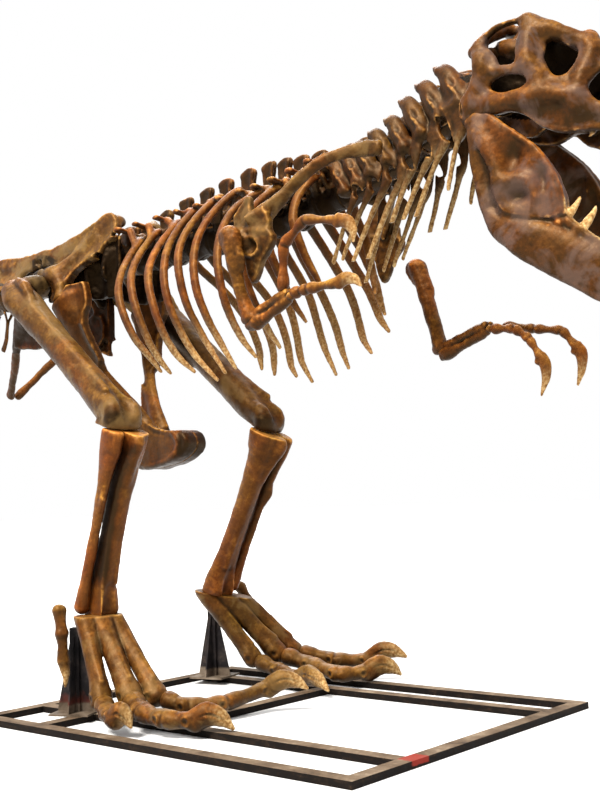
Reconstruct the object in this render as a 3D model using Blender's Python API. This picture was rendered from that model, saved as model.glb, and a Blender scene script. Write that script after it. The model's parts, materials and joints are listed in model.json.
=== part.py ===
# Mounted skeleton of a large tyrannosaur, striding, jaws open, on a welded steel
# floor frame. Metres, +Z up. The animal faces +X and its left side is +Y.
# Every bone group is a loft, a ball or a plate joined by exact Booleans; where two
# groups meet they are cut by one plane and keep a gap of about half a millimetre.
import math
import bpy
import bmesh
from mathutils import Vector, Matrix

# ---------------------------------------------------------------- driving sizes
RAIL_W = 0.092          # floor frame bar, width
RAIL_H = 0.040          # floor frame bar, height
FRAME_X = (-0.305, 2.760)   # rear and front outer faces of the frame
FRAME_Y = (-1.232, 1.084)   # right and left outer faces
INNER_RIGHT_Y = -0.776  # right edge of the inner right rail
INNER_LEFT_Y = 0.670    # right edge of the inner left rail
CROSS_POST_X = 0.240    # rear edge of the short cross bar by the posts
CROSS_TOE_X = 0.930     # rear edge of the cross bar under the toes
POST_R = (0.185, -0.805)    # right post, on plan
POST_L = (-0.060, 0.660)    # left post
POST_TOP = 0.575
PLATE = 0.270           # post's base plate, square side
GAP = 0.0005            # air left at every cut
SPINE_PITCH = 0.190     # one back vertebra to the next
HIP_Z = 2.93
TAIL_TIP_X = -6.60
SKULL_LEN = 1.36
PI = math.pi

for ob in list(bpy.data.objects):
    bpy.data.objects.remove(ob, do_unlink=True)
for old in list(bpy.data.collections):
    bpy.data.collections.remove(old)
parts = bpy.data.collections.new("tyrannosaur_mount")
cutters = bpy.data.collections.new("cutters")
bpy.context.scene.collection.children.link(parts)
bpy.context.scene.collection.children.link(cutters)

BONE = (0.235, 0.120, 0.045)
CLAW = (0.50, 0.33, 0.14)
STEEL = (0.045, 0.048, 0.055)
RAIL = (0.30, 0.25, 0.20)


def material(name, rgb, rough, metal):
    m = bpy.data.materials.new(name)
    m.use_nodes = True
    b = m.node_tree.nodes["Principled BSDF"]
    b.inputs["Base Color"].default_value = (*rgb, 1.0)
    b.inputs["Roughness"].default_value = rough
    b.inputs["Metallic"].default_value = metal
    return m


def add(bm, name="tmp", coll=None):
    me = bpy.data.meshes.new(name)
    bm.to_mesh(me)
    bm.free()
    ob = bpy.data.objects.new(name, me)
    (coll or cutters).objects.link(ob)
    if coll is None or coll is cutters:
        ob.hide_render = True
        ob.display_type = "WIRE"
    return ob


def V(p):
    return Vector((float(p[0]), float(p[1]), float(p[2])))


def spline(pts, n):
    """Points of a Catmull-Rom curve through pts, n spans between each pair."""
    q = [V(p) for p in pts]
    q = [q[0] * 2 - q[1]] + q + [q[-1] * 2 - q[-2]]
    out = []
    for i in range(1, len(q) - 2):
        a, b, c, d = q[i - 1], q[i], q[i + 1], q[i + 2]
        for k in range(n):
            t = k / n
            out.append(0.5 * ((2 * b) + (c - a) * t + (2 * a - 5 * b + 4 * c - d) * t * t
                              + (3 * b - a - 3 * c + d) * t * t * t))
    out.append(q[-2])
    return out


def blend_list(vals, m):
    """vals stretched evenly to m entries."""
    out = []
    for i in range(m):
        t = i / (m - 1) * (len(vals) - 1)
        k = min(int(t), len(vals) - 2)
        f = t - k
        a, b = vals[k], vals[k + 1]
        if isinstance(a, (tuple, list)):
            out.append(tuple(x + (y - x) * f for x, y in zip(a, b)))
        else:
            out.append(a + (b - a) * f)
    return out


def loft(pts, sizes, up=(0, 0, 1), sides=8, round_ends=True, phase=0.5):
    """Closed bone along pts; sizes are radii or (across, along-up) half sizes."""
    pts = [V(p) for p in pts]
    sizes = blend_list(sizes, len(pts))
    sizes = [(s, s) if not isinstance(s, tuple) else s for s in sizes]
    n = len(pts)
    rings = []
    for i, p in enumerate(pts):
        t = (pts[min(i + 1, n - 1)] - pts[max(i - 1, 0)]).normalized()
        rings.append((p, t, sizes[i]))
    if round_ends:
        p, t, s = rings[0]
        rings.insert(0, (p - t * min(s) * 0.45, t, (s[0] * 0.55, s[1] * 0.55)))
        p, t, s = rings[-1]
        rings.append((p + t * min(s) * 0.45, t, (s[0] * 0.55, s[1] * 0.55)))
    bm = bmesh.new()
    upv = V(up).normalized()
    loops = []
    for p, t, s in rings:
        side = t.cross(upv)
        if side.length < 1e-3:
            side = t.cross(Vector((1, 0, 0)))
        side.normalize()
        u = side.cross(t).normalized()
        loops.append([bm.verts.new(p + side * s[0] * math.cos(2 * PI * (k + phase) / sides)
                                   + u * s[1] * math.sin(2 * PI * (k + phase) / sides))
                      for k in range(sides)])
    for a, b in zip(loops, loops[1:]):
        for k in range(sides):
            bm.faces.new((a[k], a[(k + 1) % sides], b[(k + 1) % sides], b[k]))
    bm.faces.new(list(reversed(loops[0])))
    bm.faces.new(loops[-1])
    bmesh.ops.recalc_face_normals(bm, faces=bm.faces[:])
    return add(bm)


def ball(c, r, seg=8, rings=6, rot=None):
    bm = bmesh.new()
    bmesh.ops.create_uvsphere(bm, u_segments=seg, v_segments=rings, radius=1.0)
    rr = (r, r, r) if not isinstance(r, (tuple, list)) else r
    m = Matrix.Translation(V(c)) @ (rot or Matrix.Rotation(0.13, 4, "Z")) @ Matrix.Diagonal((*rr, 1.0))
    bmesh.ops.transform(bm, matrix=m, verts=bm.verts[:])
    return add(bm)


def box(lo, hi, name="tmp", coll=None, taper=1.0, lean=(0, 0)):
    """A block from lo to hi; its top may taper and lean."""
    bm = bmesh.new()
    bmesh.ops.create_cube(bm, size=1.0)
    c = (V(lo) + V(hi)) / 2
    d = V(hi) - V(lo)
    for v in bm.verts:
        k = taper if v.co.z > 0 else 1.0
        l = lean if v.co.z > 0 else (0, 0)
        v.co = Vector((c.x + v.co.x * d.x * k + l[0], c.y + v.co.y * d.y * k + l[1],
                       c.z + v.co.z * d.z))
    return add(bm, name, coll)


def plate(outline, thick, origin=(0, 0, 0), ax=(1, 0, 0), ay=(0, 0, 1)):
    """Flat outline (a filled 2D curve) given its thickness, in the plane ax, ay."""
    cu = bpy.data.curves.new("outline", "CURVE")
    cu.dimensions = "2D"
    cu.fill_mode = "BOTH"
    cu.extrude = thick / 2
    sp = cu.splines.new("POLY")
    sp.points.add(len(outline) - 1)
    for p, o in zip(sp.points, outline):
        p.co = (o[0], o[1], 0, 1)
    sp.use_cyclic_u = True
    ob = bpy.data.objects.new("outline", cu)
    cutters.objects.link(ob)
    bpy.context.view_layer.update()
    me = bpy.data.meshes.new_from_object(ob.evaluated_get(bpy.context.evaluated_depsgraph_get()))
    bpy.data.objects.remove(ob, do_unlink=True)
    bm = bmesh.new()
    bm.from_mesh(me)
    bmesh.ops.remove_doubles(bm, verts=bm.verts[:], dist=1e-5)
    X, Y = V(ax).normalized(), V(ay).normalized()
    Z = X.cross(Y).normalized()
    Y = Z.cross(X).normalized()
    m = Matrix(((X.x, Y.x, Z.x, origin[0]), (X.y, Y.y, Z.y, origin[1]),
                (X.z, Y.z, Z.z, origin[2]), (0, 0, 0, 1)))
    bmesh.ops.transform(bm, matrix=m, verts=bm.verts[:])
    bmesh.ops.recalc_face_normals(bm, faces=bm.faces[:])
    return add(bm)


def baked(ob):
    """The object with its modifiers applied, as a plain mesh."""
    bpy.context.view_layer.update()
    dg = bpy.context.evaluated_depsgraph_get()
    me = bpy.data.meshes.new_from_object(ob.evaluated_get(dg))
    ob.modifiers.clear()
    ob.data = me
    return ob


def boolean(ob, others, op):
    for o in others:
        m = ob.modifiers.new("b", "BOOLEAN")
        m.operation = op
        m.solver = "EXACT"
        m.object = o
        baked(ob)
        bpy.data.objects.remove(o, do_unlink=True)
    return ob


def union(obs):
    return boolean(obs[0], obs[1:], "UNION")


def minus(ob, obs):
    return boolean(ob, obs, "DIFFERENCE")


def slim(ob, most):
    """At most about this many triangles, taken out where the shape is flattest."""
    bm = bmesh.new()
    bm.from_mesh(ob.data)
    bmesh.ops.remove_doubles(bm, verts=bm.verts[:], dist=5e-4)
    bmesh.ops.dissolve_degenerate(bm, dist=5e-4, edges=bm.edges[:])
    bmesh.ops.triangulate(bm, faces=bm.faces[:])
    n = len(bm.faces)
    bm.to_mesh(ob.data)
    bm.free()
    if n > most:
        m = ob.modifiers.new("d", "DECIMATE")
        m.ratio = most / n
        m.use_collapse_triangulate = True
        baked(ob)
    return ob


def clip(ob, point, normal):
    """Keeps what lies behind the plane, the side the normal points away from."""
    bm = bmesh.new()
    bm.from_mesh(ob.data)
    n = V(normal).normalized()
    r = bmesh.ops.bisect_plane(bm, geom=bm.verts[:] + bm.edges[:] + bm.faces[:], dist=1e-6,
                               plane_co=V(point) - n * GAP / 2, plane_no=n, clear_outer=True)
    edges = [g for g in r["geom_cut"] if isinstance(g, bmesh.types.BMEdge)]
    bmesh.ops.triangle_fill(bm, use_beauty=True, use_dissolve=False, edges=edges)
    rest = [e for e in bm.edges if e.is_boundary]
    if rest:
        bmesh.ops.holes_fill(bm, edges=rest, sides=0)
    bmesh.ops.recalc_face_normals(bm, faces=bm.faces[:])
    bm.to_mesh(ob.data)
    bm.free()
    return ob


def crumbs(bm):
    """Drops the slivers that a cut can leave beside the body, and sealed pockets in it."""
    left = set(bm.faces)
    while left:
        f = left.pop()
        isle, todo = [f], [f]
        while todo:
            for e in todo.pop().edges:
                for g in e.link_faces:
                    if g in left:
                        left.remove(g)
                        isle.append(g)
                        todo.append(g)
        vol = sum(g.calc_area() * g.normal.dot(g.calc_center_median()) for g in isle)
        if len(isle) < 12 or vol < 0:
            bmesh.ops.delete(bm, geom=isle, context="FACES")


def finish(ob, name, mat):
    ob.name = name
    ob.data.name = name
    bm = bmesh.new()
    bm.from_mesh(ob.data)
    bmesh.ops.remove_doubles(bm, verts=bm.verts[:], dist=2e-4)
    bmesh.ops.dissolve_degenerate(bm, dist=2e-4, edges=bm.edges[:])
    bmesh.ops.triangulate(bm, faces=bm.faces[:])
    crumbs(bm)
    bm.to_mesh(ob.data)
    bm.free()
    ob.data.materials.clear()
    ob.data.materials.append(mat)
    for c in list(ob.users_collection):
        c.objects.unlink(ob)
    parts.objects.link(ob)
    ob.hide_render = False
    ob.display_type = "TEXTURED"
    return ob


def bone(name, obs, rgb=BONE, rough=0.42):
    ob = union(obs)
    return finish(ob, name, material(name, rgb, rough, 0.0))


def mirrored(src, name, rgb, rough):
    """A separate body, the left-hand twin of a finished right-hand one."""
    old = parts.objects[src]
    ob = bpy.data.objects.new(name, old.data.copy())
    parts.objects.link(ob)
    for v in ob.data.vertices:
        v.co.y = -v.co.y
    ob.data.flip_normals()
    ob.data.name = name
    ob.data.materials.clear()
    ob.data.materials.append(material(name, rgb, rough, 0.0))
    return ob


# ------------------------------------------------------------------ floor frame
def rail(name, x0, x1, y0, y1):
    finish(box((x0, y0, 0), (x1, y1, RAIL_H), name), name, material(name, RAIL, 0.75, 0.2))


X0, X1 = FRAME_X
Y0, Y1 = FRAME_Y
rail("rail_outer_right", X0, X1, Y0, Y0 + RAIL_W)
rail("rail_outer_left", X0, X1, Y1 - RAIL_W, Y1)
rail("rail_rear", X0, X0 + RAIL_W, Y0 + RAIL_W + GAP, Y1 - RAIL_W - GAP)
rail("rail_front", X1 - RAIL_W, X1, Y0 + RAIL_W + GAP, Y1 - RAIL_W - GAP)
rail("rail_inner_right", X0 + RAIL_W + GAP, X1 - RAIL_W - GAP, INNER_RIGHT_Y, INNER_RIGHT_Y + RAIL_W)
rail("rail_inner_left", X0 + RAIL_W + GAP, X1 - RAIL_W - GAP, INNER_LEFT_Y, INNER_LEFT_Y + RAIL_W)
rail("rail_cross_post", CROSS_POST_X, CROSS_POST_X + RAIL_W, Y0 + RAIL_W + GAP, INNER_RIGHT_Y - GAP)
rail("rail_cross_toe", CROSS_TOE_X, CROSS_TOE_X + RAIL_W, INNER_RIGHT_Y + RAIL_W + GAP, INNER_LEFT_Y - GAP)


def post(name, at, turn):
    """Base plate, square upright and four corner gussets."""
    x, y = at
    h = PLATE / 2
    z0 = RAIL_H + GAP
    obs = [box((-h, -h, z0), (h, h, z0 + 0.012)),
           box((-0.030, -0.030, z0 + 0.006), (0.030, 0.030, POST_TOP))]
    for a in range(4):
        tri = [(0.020, z0 + 0.008), (h * 0.97, z0 + 0.008), (h * 0.97, z0 + 0.030), (0.034, 0.52), (0.020, 0.52)]
        d = (math.cos(a * PI / 2), math.sin(a * PI / 2), 0)
        obs.append(plate(tri, 0.010, (0, 0, 0), d, (0, 0, 1)))
    ob = union(obs)
    m = Matrix.Translation((x, y, 0)) @ Matrix.Rotation(turn, 4, "Z")
    for v in ob.data.vertices:
        v.co = m @ v.co
    finish(ob, name, material(name, STEEL, 0.5, 0.6))


post("post_right", POST_R, 0.45)
post("post_left", POST_L, 0.25)


# ---------------------------------------------------------------- backbone line
# centre line of the vertebral bodies, tail tip to first neck vertebra (y = 0)
LINE = [(TAIL_TIP_X, 2.62), (-5.6, 2.66), (-4.6, 2.74), (-3.6, 2.84), (-2.6, 2.95), (-1.6, 3.03),
        (-0.8, 3.06), (0.0, 3.07), (0.8, 3.09), (1.5, 3.12), (1.95, 3.20), (2.25, 3.31),
        (2.50, 3.41), (2.68, 3.50), (2.80, 3.57)]


def line_z(x):
    for a, b in zip(LINE, LINE[1:]):
        if a[0] <= x <= b[0]:
            t = (x - a[0]) / (b[0] - a[0])
            return a[1] + (b[1] - a[1]) * t
    return LINE[-1][1] if x > 0 else LINE[0][1]


def line_slope(x):
    return math.atan2(line_z(x + 0.08) - line_z(x - 0.08), 0.16)


def column(xs, rad, sides=8):
    """Row of spool-shaped bodies through the stations xs (their meeting faces)."""
    pts, sz = [], []
    for a, b in zip(xs, xs[1:]):
        m = (a + b) / 2
        for x, k in ((a, 1.0), (m, 0.74)):
            pts.append((x, 0, line_z(x)))
            sz.append((rad(x) * k, rad(x) * k * 1.05))
    pts.append((xs[-1], 0, line_z(xs[-1])))
    sz.append((rad(xs[-1]), rad(xs[-1]) * 1.05))
    return loft(pts, sz, sides=sides, round_ends=False)


def spine(x, h, length, width, top=1.25, base=0.02):
    """Neural spine: a flat blade standing on the body, wider at its top."""
    z = line_z(x)
    a = line_slope(x)
    lean = -math.sin(a) * h
    pts = [(x, 0, z + base), (x + lean * 0.5 - 0.01, 0, z + h * 0.55), (x + lean, 0, z + h)]
    return loft(pts, [(width * 0.8, length * 0.42), (width * 0.6, length * 0.36), (width * 1.1, length * 0.40 * top)],
                up=(1, 0, 0), sides=4, round_ends=False)


# height of the row of spine tops from the hips to the head
CREST = [(0.0, 3.31), (0.26, 3.35), (0.47, 3.39), (0.67, 3.43), (0.86, 3.46), (1.07, 3.49), (1.30, 3.50),
         (1.72, 3.49), (2.10, 3.50), (2.30, 3.53), (2.46, 3.60), (2.62, 3.72), (2.85, 3.80)]


def crest_z(x):
    for a, b in zip(CREST, CREST[1:]):
        if a[0] <= x <= b[0]:
            return a[1] + (b[1] - a[1]) * (x - a[0]) / (b[0] - a[0])
    return CREST[-1][1]


def wing(x, s, reach, rise, r, back=0.0):
    """Side process of a vertebra."""
    z = line_z(x)
    return loft([(x, 0.02 * s, z + 0.07), (x + back, s * reach, z + 0.07 + rise)],
                [(r * 1.4, r * 1.1), (r * 1.1, r * 0.6)], up=(0, 0, 1), sides=4, round_ends=False)


def body_radius(x):
    if x < -1.3:
        t = (x - TAIL_TIP_X) / (-1.3 - TAIL_TIP_X)
        return 0.016 + 0.104 * t ** 0.85
    if x < 1.9:
        return 0.105
    return 0.105 - 0.025 * (x - 1.9)


# ------------------------------------------------------------------------- tail
def tail():
    xs, x, p = [-1.28], -1.28, 0.175
    while x - p > TAIL_TIP_X + 0.02 and len(xs) < 34:
        x -= p
        xs.append(x)
        p = 0.175 - 0.030 * (len(xs) / 34) if len(xs) < 30 else 0.14
    xs[-1] = TAIL_TIP_X
    xs = xs[::-1]
    n = len(xs) - 1
    cuts = [0, n - 26, n - 19, n - 13, n - 7, n] if n > 27 else [0, 5, 11, 17, 22, n]
    k = 5
    for a, b in zip(cuts, cuts[1:]):
        seg = xs[a:b + 1]
        obs = [column(seg, body_radius, sides=6)]  # one spool a vertebra
        for i in range(len(seg) - 1):
            m = (seg[i] + seg[i + 1]) / 2
            f = max(0.0, (m - TAIL_TIP_X) / (-1.28 - TAIL_TIP_X))
            r = body_radius(m)
            if f > 0.12:
                tall = min(r + 0.05 + 0.24 * f, 3.27 - line_z(m))
                obs.append(spine(m - 0.02, tall, 0.10 + 0.03 * f, 0.016 + 0.012 * f, 1.0))
                # chevron under the body
                z = line_z(m)
                obs.append(loft([(m - 0.03, 0, z - r * 0.5), (m - 0.06, 0, z - r - 0.06 - 0.10 * f),
                                 (m - 0.12, 0, z - r - 0.10 - 0.22 * f)],
                                [(0.018, 0.030), (0.012, 0.022 + 0.02 * f), (0.010, 0.030)],
                                up=(1, 0, 0), sides=4))
            if f > 0.50 and m < -1.56:
                for s in (-1, 1):
                    obs.append(loft([(m, 0, z), (m - 0.02, s * (r + 0.05 + 0.20 * (f - 0.4)), z + 0.02)],
                                    [(0.030, 0.024), (0.022, 0.012)], sides=4, round_ends=False))
        ob = slim(union(obs), (270, 250, 220, 170, 100)[k - 1])
        if b < n:
            clip(ob, (xs[b], 0, 0), (1, 0, 0))
        if a > 0:
            clip(ob, (xs[a], 0, 0), (-1, 0, 0))
        if b == n:
            clip(ob, (xs[b], 0, 0), (1, 0, 0))
        finish(ob, "tail_%d" % k, material("tail_%d" % k, BONE, 0.42, 0.0))
        k -= 1


tail()


# ---------------------------------------------------------------- sacrum, pelvis
def sacrum():
    xs = [-1.28 + i * 0.24 for i in range(6)]
    obs = [column(xs, lambda x: 0.10, sides=8)]
    # fused spines between the blades
    obs.append(loft([(-1.30, 0, 3.17), (-0.9, 0, 3.15), (-0.5, 0, 3.17), (-0.1, 0, 3.24), (0.02, 0, 3.26)],
                    [(0.035, 0.09), (0.035, 0.09), (0.035, 0.09), (0.035, 0.08), (0.04, 0.06)], sides=6,
                    round_ends=False))
    for i, x in enumerate((-1.14, -0.90, -0.66, -0.42, -0.18)):
        for s in (-1, 1):
            obs.append(loft([(x, 0.03 * s, 3.12), (x, s * 0.10, 3.12), (x, s * 0.18, 3.13)],
                            [(0.040, 0.05), (0.035, 0.06), (0.05, 0.09)], sides=5))
    ob = slim(union(obs), 270)
    clip(ob, (-1.28, 0, 0), (-1, 0, 0))
    clip(ob, (0.0, 0, 0), (1, 0, 0))
    clip(ob, (0, 0.120, 0), (0, 1, 0))
    clip(ob, (0, -0.120, 0), (0, -1, 0))
    finish(ob, "sacrum", material("sacrum", BONE, 0.45, 0.0))


sacrum()
HEAD_Y = 0.400          # thigh bone's head, from the middle
SOCKET = (-0.68, 2.93)


def side_name(s):
    return "right" if s < 0 else "left"


def pelvis(s):
    n = side_name(s)
    lean = 0.42          # the blade spreads this much sideways for each metre down
    ay = Vector((0, -s * lean, 1)).normalized()

    def out(z):
        return 0.150 + (3.36 - z) * lean
    # hip blade
    top = [(-1.46, 3.10), (-1.42, 3.22), (-1.20, 3.235), (-0.90, 3.235), (-0.60, 3.255), (-0.30, 3.30),
           (-0.08, 3.40), (-0.01, 3.37), (-0.04, 3.26), (-0.14, 3.14), (-0.26, 3.08), (-0.34, 3.02),
           (-0.36, 2.90), (-0.42, 2.80), (-0.52, 2.80), (-0.58, 2.90), (-0.78, 2.90), (-0.84, 2.80),
           (-0.96, 2.78), (-1.06, 2.88), (-1.16, 3.00), (-1.30, 3.04)]
    k = math.sqrt(1 + lean * lean)
    pl = plate([(x, (z - 3.0) * k) for x, z in top], 0.055, (0, s * out(3.0), 3.0), (1, 0, 0), tuple(ay))
    # the blade's upper rim and the rims of the hip socket stand out sideways
    rim = loft(spline([(-1.40, s * out(3.20), 3.20), (-0.90, s * out(3.21), 3.21), (-0.45, s * out(3.25), 3.25),
                       (-0.07, s * out(3.36), 3.36)], 3), [(0.045, 0.035), (0.040, 0.032), (0.05, 0.035), (0.055, 0.04)],
               sides=6)
    sock = loft(spline([(-0.44, s * (out(2.84) + 0.03), 2.84), (-0.52, s * (out(3.0) + 0.06), 3.00),
                        (-0.68, s * (out(3.07) + 0.07), 3.07), (-0.84, s * (out(3.0) + 0.06), 3.00),
                        (-0.92, s * (out(2.84) + 0.03), 2.84)], 2),
                [(0.055, 0.06)] * 5, up=(0, 1, 0), sides=6)
    ob = union([pl, rim, sock])
    ob = minus(ob, [ball((SOCKET[0], s * (HEAD_Y + 0.03), SOCKET[1]), 0.150, 12, 9)])
    slim(ob, 210)
    clip(ob, (0, s * 0.121, 0), (0, -s, 0))
    for x, z, d in ((-0.45, 2.83, (0.45, 0, -0.9)), (-0.92, 2.83, (-0.45, 0, -0.9))):
        clip(ob, (x, s * 0.2, z), d)
    finish(ob, "ilium_" + n, material("ilium_" + n, (0.27, 0.17, 0.075), 0.45, 0.0))
    # pubis: down and forward, meeting its fellow and ending in the boot
    boot = plate([(0.00, 1.80), (0.06, 1.90), (0.16, 1.86), (0.30, 1.83), (0.44, 1.82), (0.52, 1.78), (0.51, 1.70), (0.41, 1.63),
                  (0.22, 1.575), (0.02, 1.585), (-0.12, 1.64), (-0.18, 1.70), (-0.10, 1.75)], 0.085,
                 (0, s * 0.045, 0))
    sh = loft(spline([(-0.44, s * 0.37, 2.78), (-0.36, s * 0.35, 2.60), (-0.26, s * 0.27, 2.38),
                      (-0.12, s * 0.165, 2.13), (0.06, s * 0.055, 1.83)], 2),
              [(0.05, 0.12), (0.042, 0.095), (0.038, 0.066), (0.038, 0.062), (0.045, 0.10)],
              up=(1, 0, 0.4), sides=6)
    ob = slim(union([sh, boot]), 150)
    clip(ob, (0, 0, 0), (0, -s, 0))
    clip(ob, (-0.45, s * 0.2, 2.83), (-0.45, 0, 0.9))
    finish(ob, "pubis_" + n, material("pubis_" + n, BONE, 0.4, 0.0))
    # ischium: down and back, meeting its fellow at the tip
    sh = loft(spline([(-0.90, s * 0.35, 2.83), (-1.08, s * 0.28, 2.66), (-1.32, s * 0.15, 2.45),
                      (-1.57, s * 0.035, 2.22)], 2),
              [(0.045, 0.12), (0.034, 0.085), (0.028, 0.045), (0.030, 0.040)], up=(1, 0, -0.5), sides=6)
    clip(sh, (0, 0, 0), (0, -s, 0))
    clip(sh, (-0.92, s * 0.2, 2.83), (0.45, 0, 0.9))
    finish(sh, "ischium_" + n, material("ischium_" + n, BONE, 0.42, 0.0))


pelvis(-1)
mirrored("ilium_right", "ilium_left", (0.27, 0.17, 0.075), 0.45)
mirrored("pubis_right", "pubis_left", BONE, 0.4)
mirrored("ischium_right", "ischium_left", BONE, 0.42)


# ------------------------------------------------------------------------- legs
LEG = {-1: dict(hip=(-0.70, -0.570, 2.87), knee=(0.570, -0.675, 1.85), fib=(0.54, -0.750, 1.78),
                ankle=(0.235, -0.665, 0.700), fibend=(0.180, -0.745, 0.720)),
       1: dict(hip=(-0.60, 0.570, 2.93), knee=(0.600, 0.675, 1.85), fib=(0.60, 0.755, 1.76),
               ankle=(0.030, 0.630, 0.715), fibend=(0.085, 0.735, 0.735))}


def lerp(a, b, t):
    return V(a) + (V(b) - V(a)) * t


def leg(s):
    n = side_name(s)
    L = LEG[s]
    hip, knee = V(L["hip"]), V(L["knee"])
    d = (knee - hip).normalized()
    bow = Vector((0.015, 0, 0.015))
    sh = loft([hip - d * 0.09, hip + d * 0.06, lerp(hip, knee, 0.18) + bow * 0.6, lerp(hip, knee, 0.38) + bow,
               lerp(hip, knee, 0.60) + bow * 0.7, lerp(hip, knee, 0.80), lerp(hip, knee, 0.91)],
              [(0.085, 0.110), (0.125, 0.135), (0.122, 0.128), (0.112, 0.118), (0.110, 0.120), (0.130, 0.138),
               (0.160, 0.150)], sides=10)
    head = loft([hip + d * 0.02, ((hip.x + SOCKET[0]) / 2, s * 0.48, 2.93), (SOCKET[0], s * 0.415, 2.94)],
                [0.095, 0.080, 0.074], up=(0, 0, 1), sides=8)
    hb = ball((SOCKET[0], s * HEAD_Y, SOCKET[1] + 0.01), 0.098, 8, 6)
    tro = loft([hip + d * 0.02 + Vector((0.09, 0, 0.03)), hip + d * 0.20 + Vector((0.10, 0, 0.09))],
               [(0.05, 0.06), (0.03, 0.03)], sides=6)
    c1 = ball(lerp(hip, knee, 0.955) + Vector((-0.02, s * 0.080, -0.02)), (0.13, 0.080, 0.13), 8, 6)
    c2 = ball(lerp(hip, knee, 0.955) + Vector((-0.02, -s * 0.080, -0.02)), (0.13, 0.080, 0.13), 8, 6)
    ob = slim(union([sh, head, hb, tro, c1, c2]), 210)
    sd = (V(L["ankle"]) - V(L["knee"])).normalized()
    kp = V(L["knee"]) + sd * 0.035
    clip(ob, kp - sd * 0.004, sd)
    finish(ob, "femur_" + n, material("femur_" + n, (0.27, 0.155, 0.065), 0.4, 0.0))
    # shin: tibia inside, fibula outside
    k, a = V(L["knee"]), V(L["ankle"])
    k2 = k + Vector((0.015, -s * 0.045, 0))
    ti = loft([k2 + sd * 0.02, lerp(k2, a, 0.07), lerp(k2, a, 0.20), lerp(k2, a, 0.45), lerp(k2, a, 0.70),
               lerp(k2, a, 0.90), a + sd * 0.03],
              [(0.125, 0.115), (0.125, 0.12), (0.095, 0.090), (0.074, 0.072), (0.074, 0.072), (0.105, 0.075),
               (0.125, 0.085)], up=(1, 0, 0.2), sides=8)
    fi = loft([V(L["fib"]) + Vector((0, s * 0.02, 0)), lerp(L["fib"], L["fibend"], 0.12) + Vector((0, s * 0.02, 0)),
               lerp(L["fib"], L["fibend"], 0.35), lerp(L["fib"], L["fibend"], 0.75), V(L["fibend"])],
              [(0.050, 0.095), (0.045, 0.080), (0.032, 0.045), (0.030, 0.040), (0.045, 0.055)],
              up=(1, 0, 0.2), sides=8)
    mid = (V(L["fib"]) + k2) / 2 + Vector((0, s * 0.018, 0))
    midn = Vector((0.10, s * 1.0, 0))
    for o in (ti, fi):
        clip(o, kp, -sd)
    ap = V(L["ankle"]) + sd * 0.045
    an = (sd + Vector((0.25, 0, 0))).normalized()
    for o in (ti, fi):
        clip(o, ap, an)
    # plane between the two bones
    f_ax = (V(L["fibend"]) + a) / 2 + Vector((0, s * 0.012, 0)) - mid
    pn = f_ax.cross(Vector((1, 0, 0)))
    if pn.y * s < 0:
        pn.negate()
    clip(ti, mid, pn)
    clip(fi, mid, -pn)
    finish(ti, "tibia_" + n, material("tibia_" + n, (0.21, 0.095, 0.03), 0.38, 0.0))
    finish(fi, "fibula_" + n, material("fibula_" + n, (0.21, 0.095, 0.03), 0.38, 0.0))
    return ap, an


# feet: metatarsal feet and toe joints, inner toe (2), middle (3), outer (4)
FOOT = {-1: dict(top=[(0.295, -0.605, 0.640), (0.275, -0.690, 0.640), (0.235, -0.770, 0.650)],
                 bot=[(0.735, -0.620, 0.165), (0.640, -0.755, 0.175), (0.520, -0.880, 0.165)],
                 toes=[[(0.94, -0.56, 0.105), (1.05, -0.34, 0.105), (1.10, -0.03, 0.150), (1.33, 0.11, 0.150)],
                       [(0.88, -0.87, 0.115), (1.12, -0.90, 0.105), (1.28, -0.84, 0.105), (1.49, -0.72, 0.060)],
                       [(0.72, -0.99, 0.115), (0.84, -1.055, 0.110), (0.84, -1.055, 0.110), (0.965, -1.03, 0.065)]],
                 hal=[(0.180, -0.925, 0.690), (0.205, -0.930, 0.550), (0.215, -0.930, 0.380), (0.23, -0.930, 0.225)]),
        1: dict(top=[(-0.005, 0.565, 0.640), (0.065, 0.650, 0.645), (0.115, 0.735, 0.655)],
                bot=[(0.340, 0.660, 0.200), (0.430, 0.820, 0.225), (0.440, 0.985, 0.225)],
                toes=[[(0.60, 0.655, 0.125), (0.82, 0.60, 0.105), (0.82, 0.60, 0.105), (1.16, 0.515, 0.060)],
                      [(0.68, 0.90, 0.145), (0.98, 0.85, 0.105), (1.10, 1.00, 0.110), (1.30, 1.14, 0.090)],
                      [(0.72, 1.12, 0.150), (0.93, 1.24, 0.150), (0.93, 1.24, 0.150), (1.20, 1.34, 0.180)]],
                hal=[(0.0, 0.900, 0.680), (0.080, 0.930, 0.550), (0.200, 0.985, 0.440), (0.270, 1.02, 0.335)])}
TOE_R = 0.064


def claw(base, tip, r, hook=0.075):
    b, t = V(base), V(tip)
    m = (b + t) / 2 + Vector((0, 0, hook))
    pts = spline([b, b + (m - b) * 0.72, m + (t - m) * 0.38, t], 2)
    return loft(pts, [(r, r * 1.25), (r * 0.92, r * 1.3), (r * 0.62, r * 0.85), (r * 0.22, r * 0.26)],
                sides=6, round_ends=False)


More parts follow.
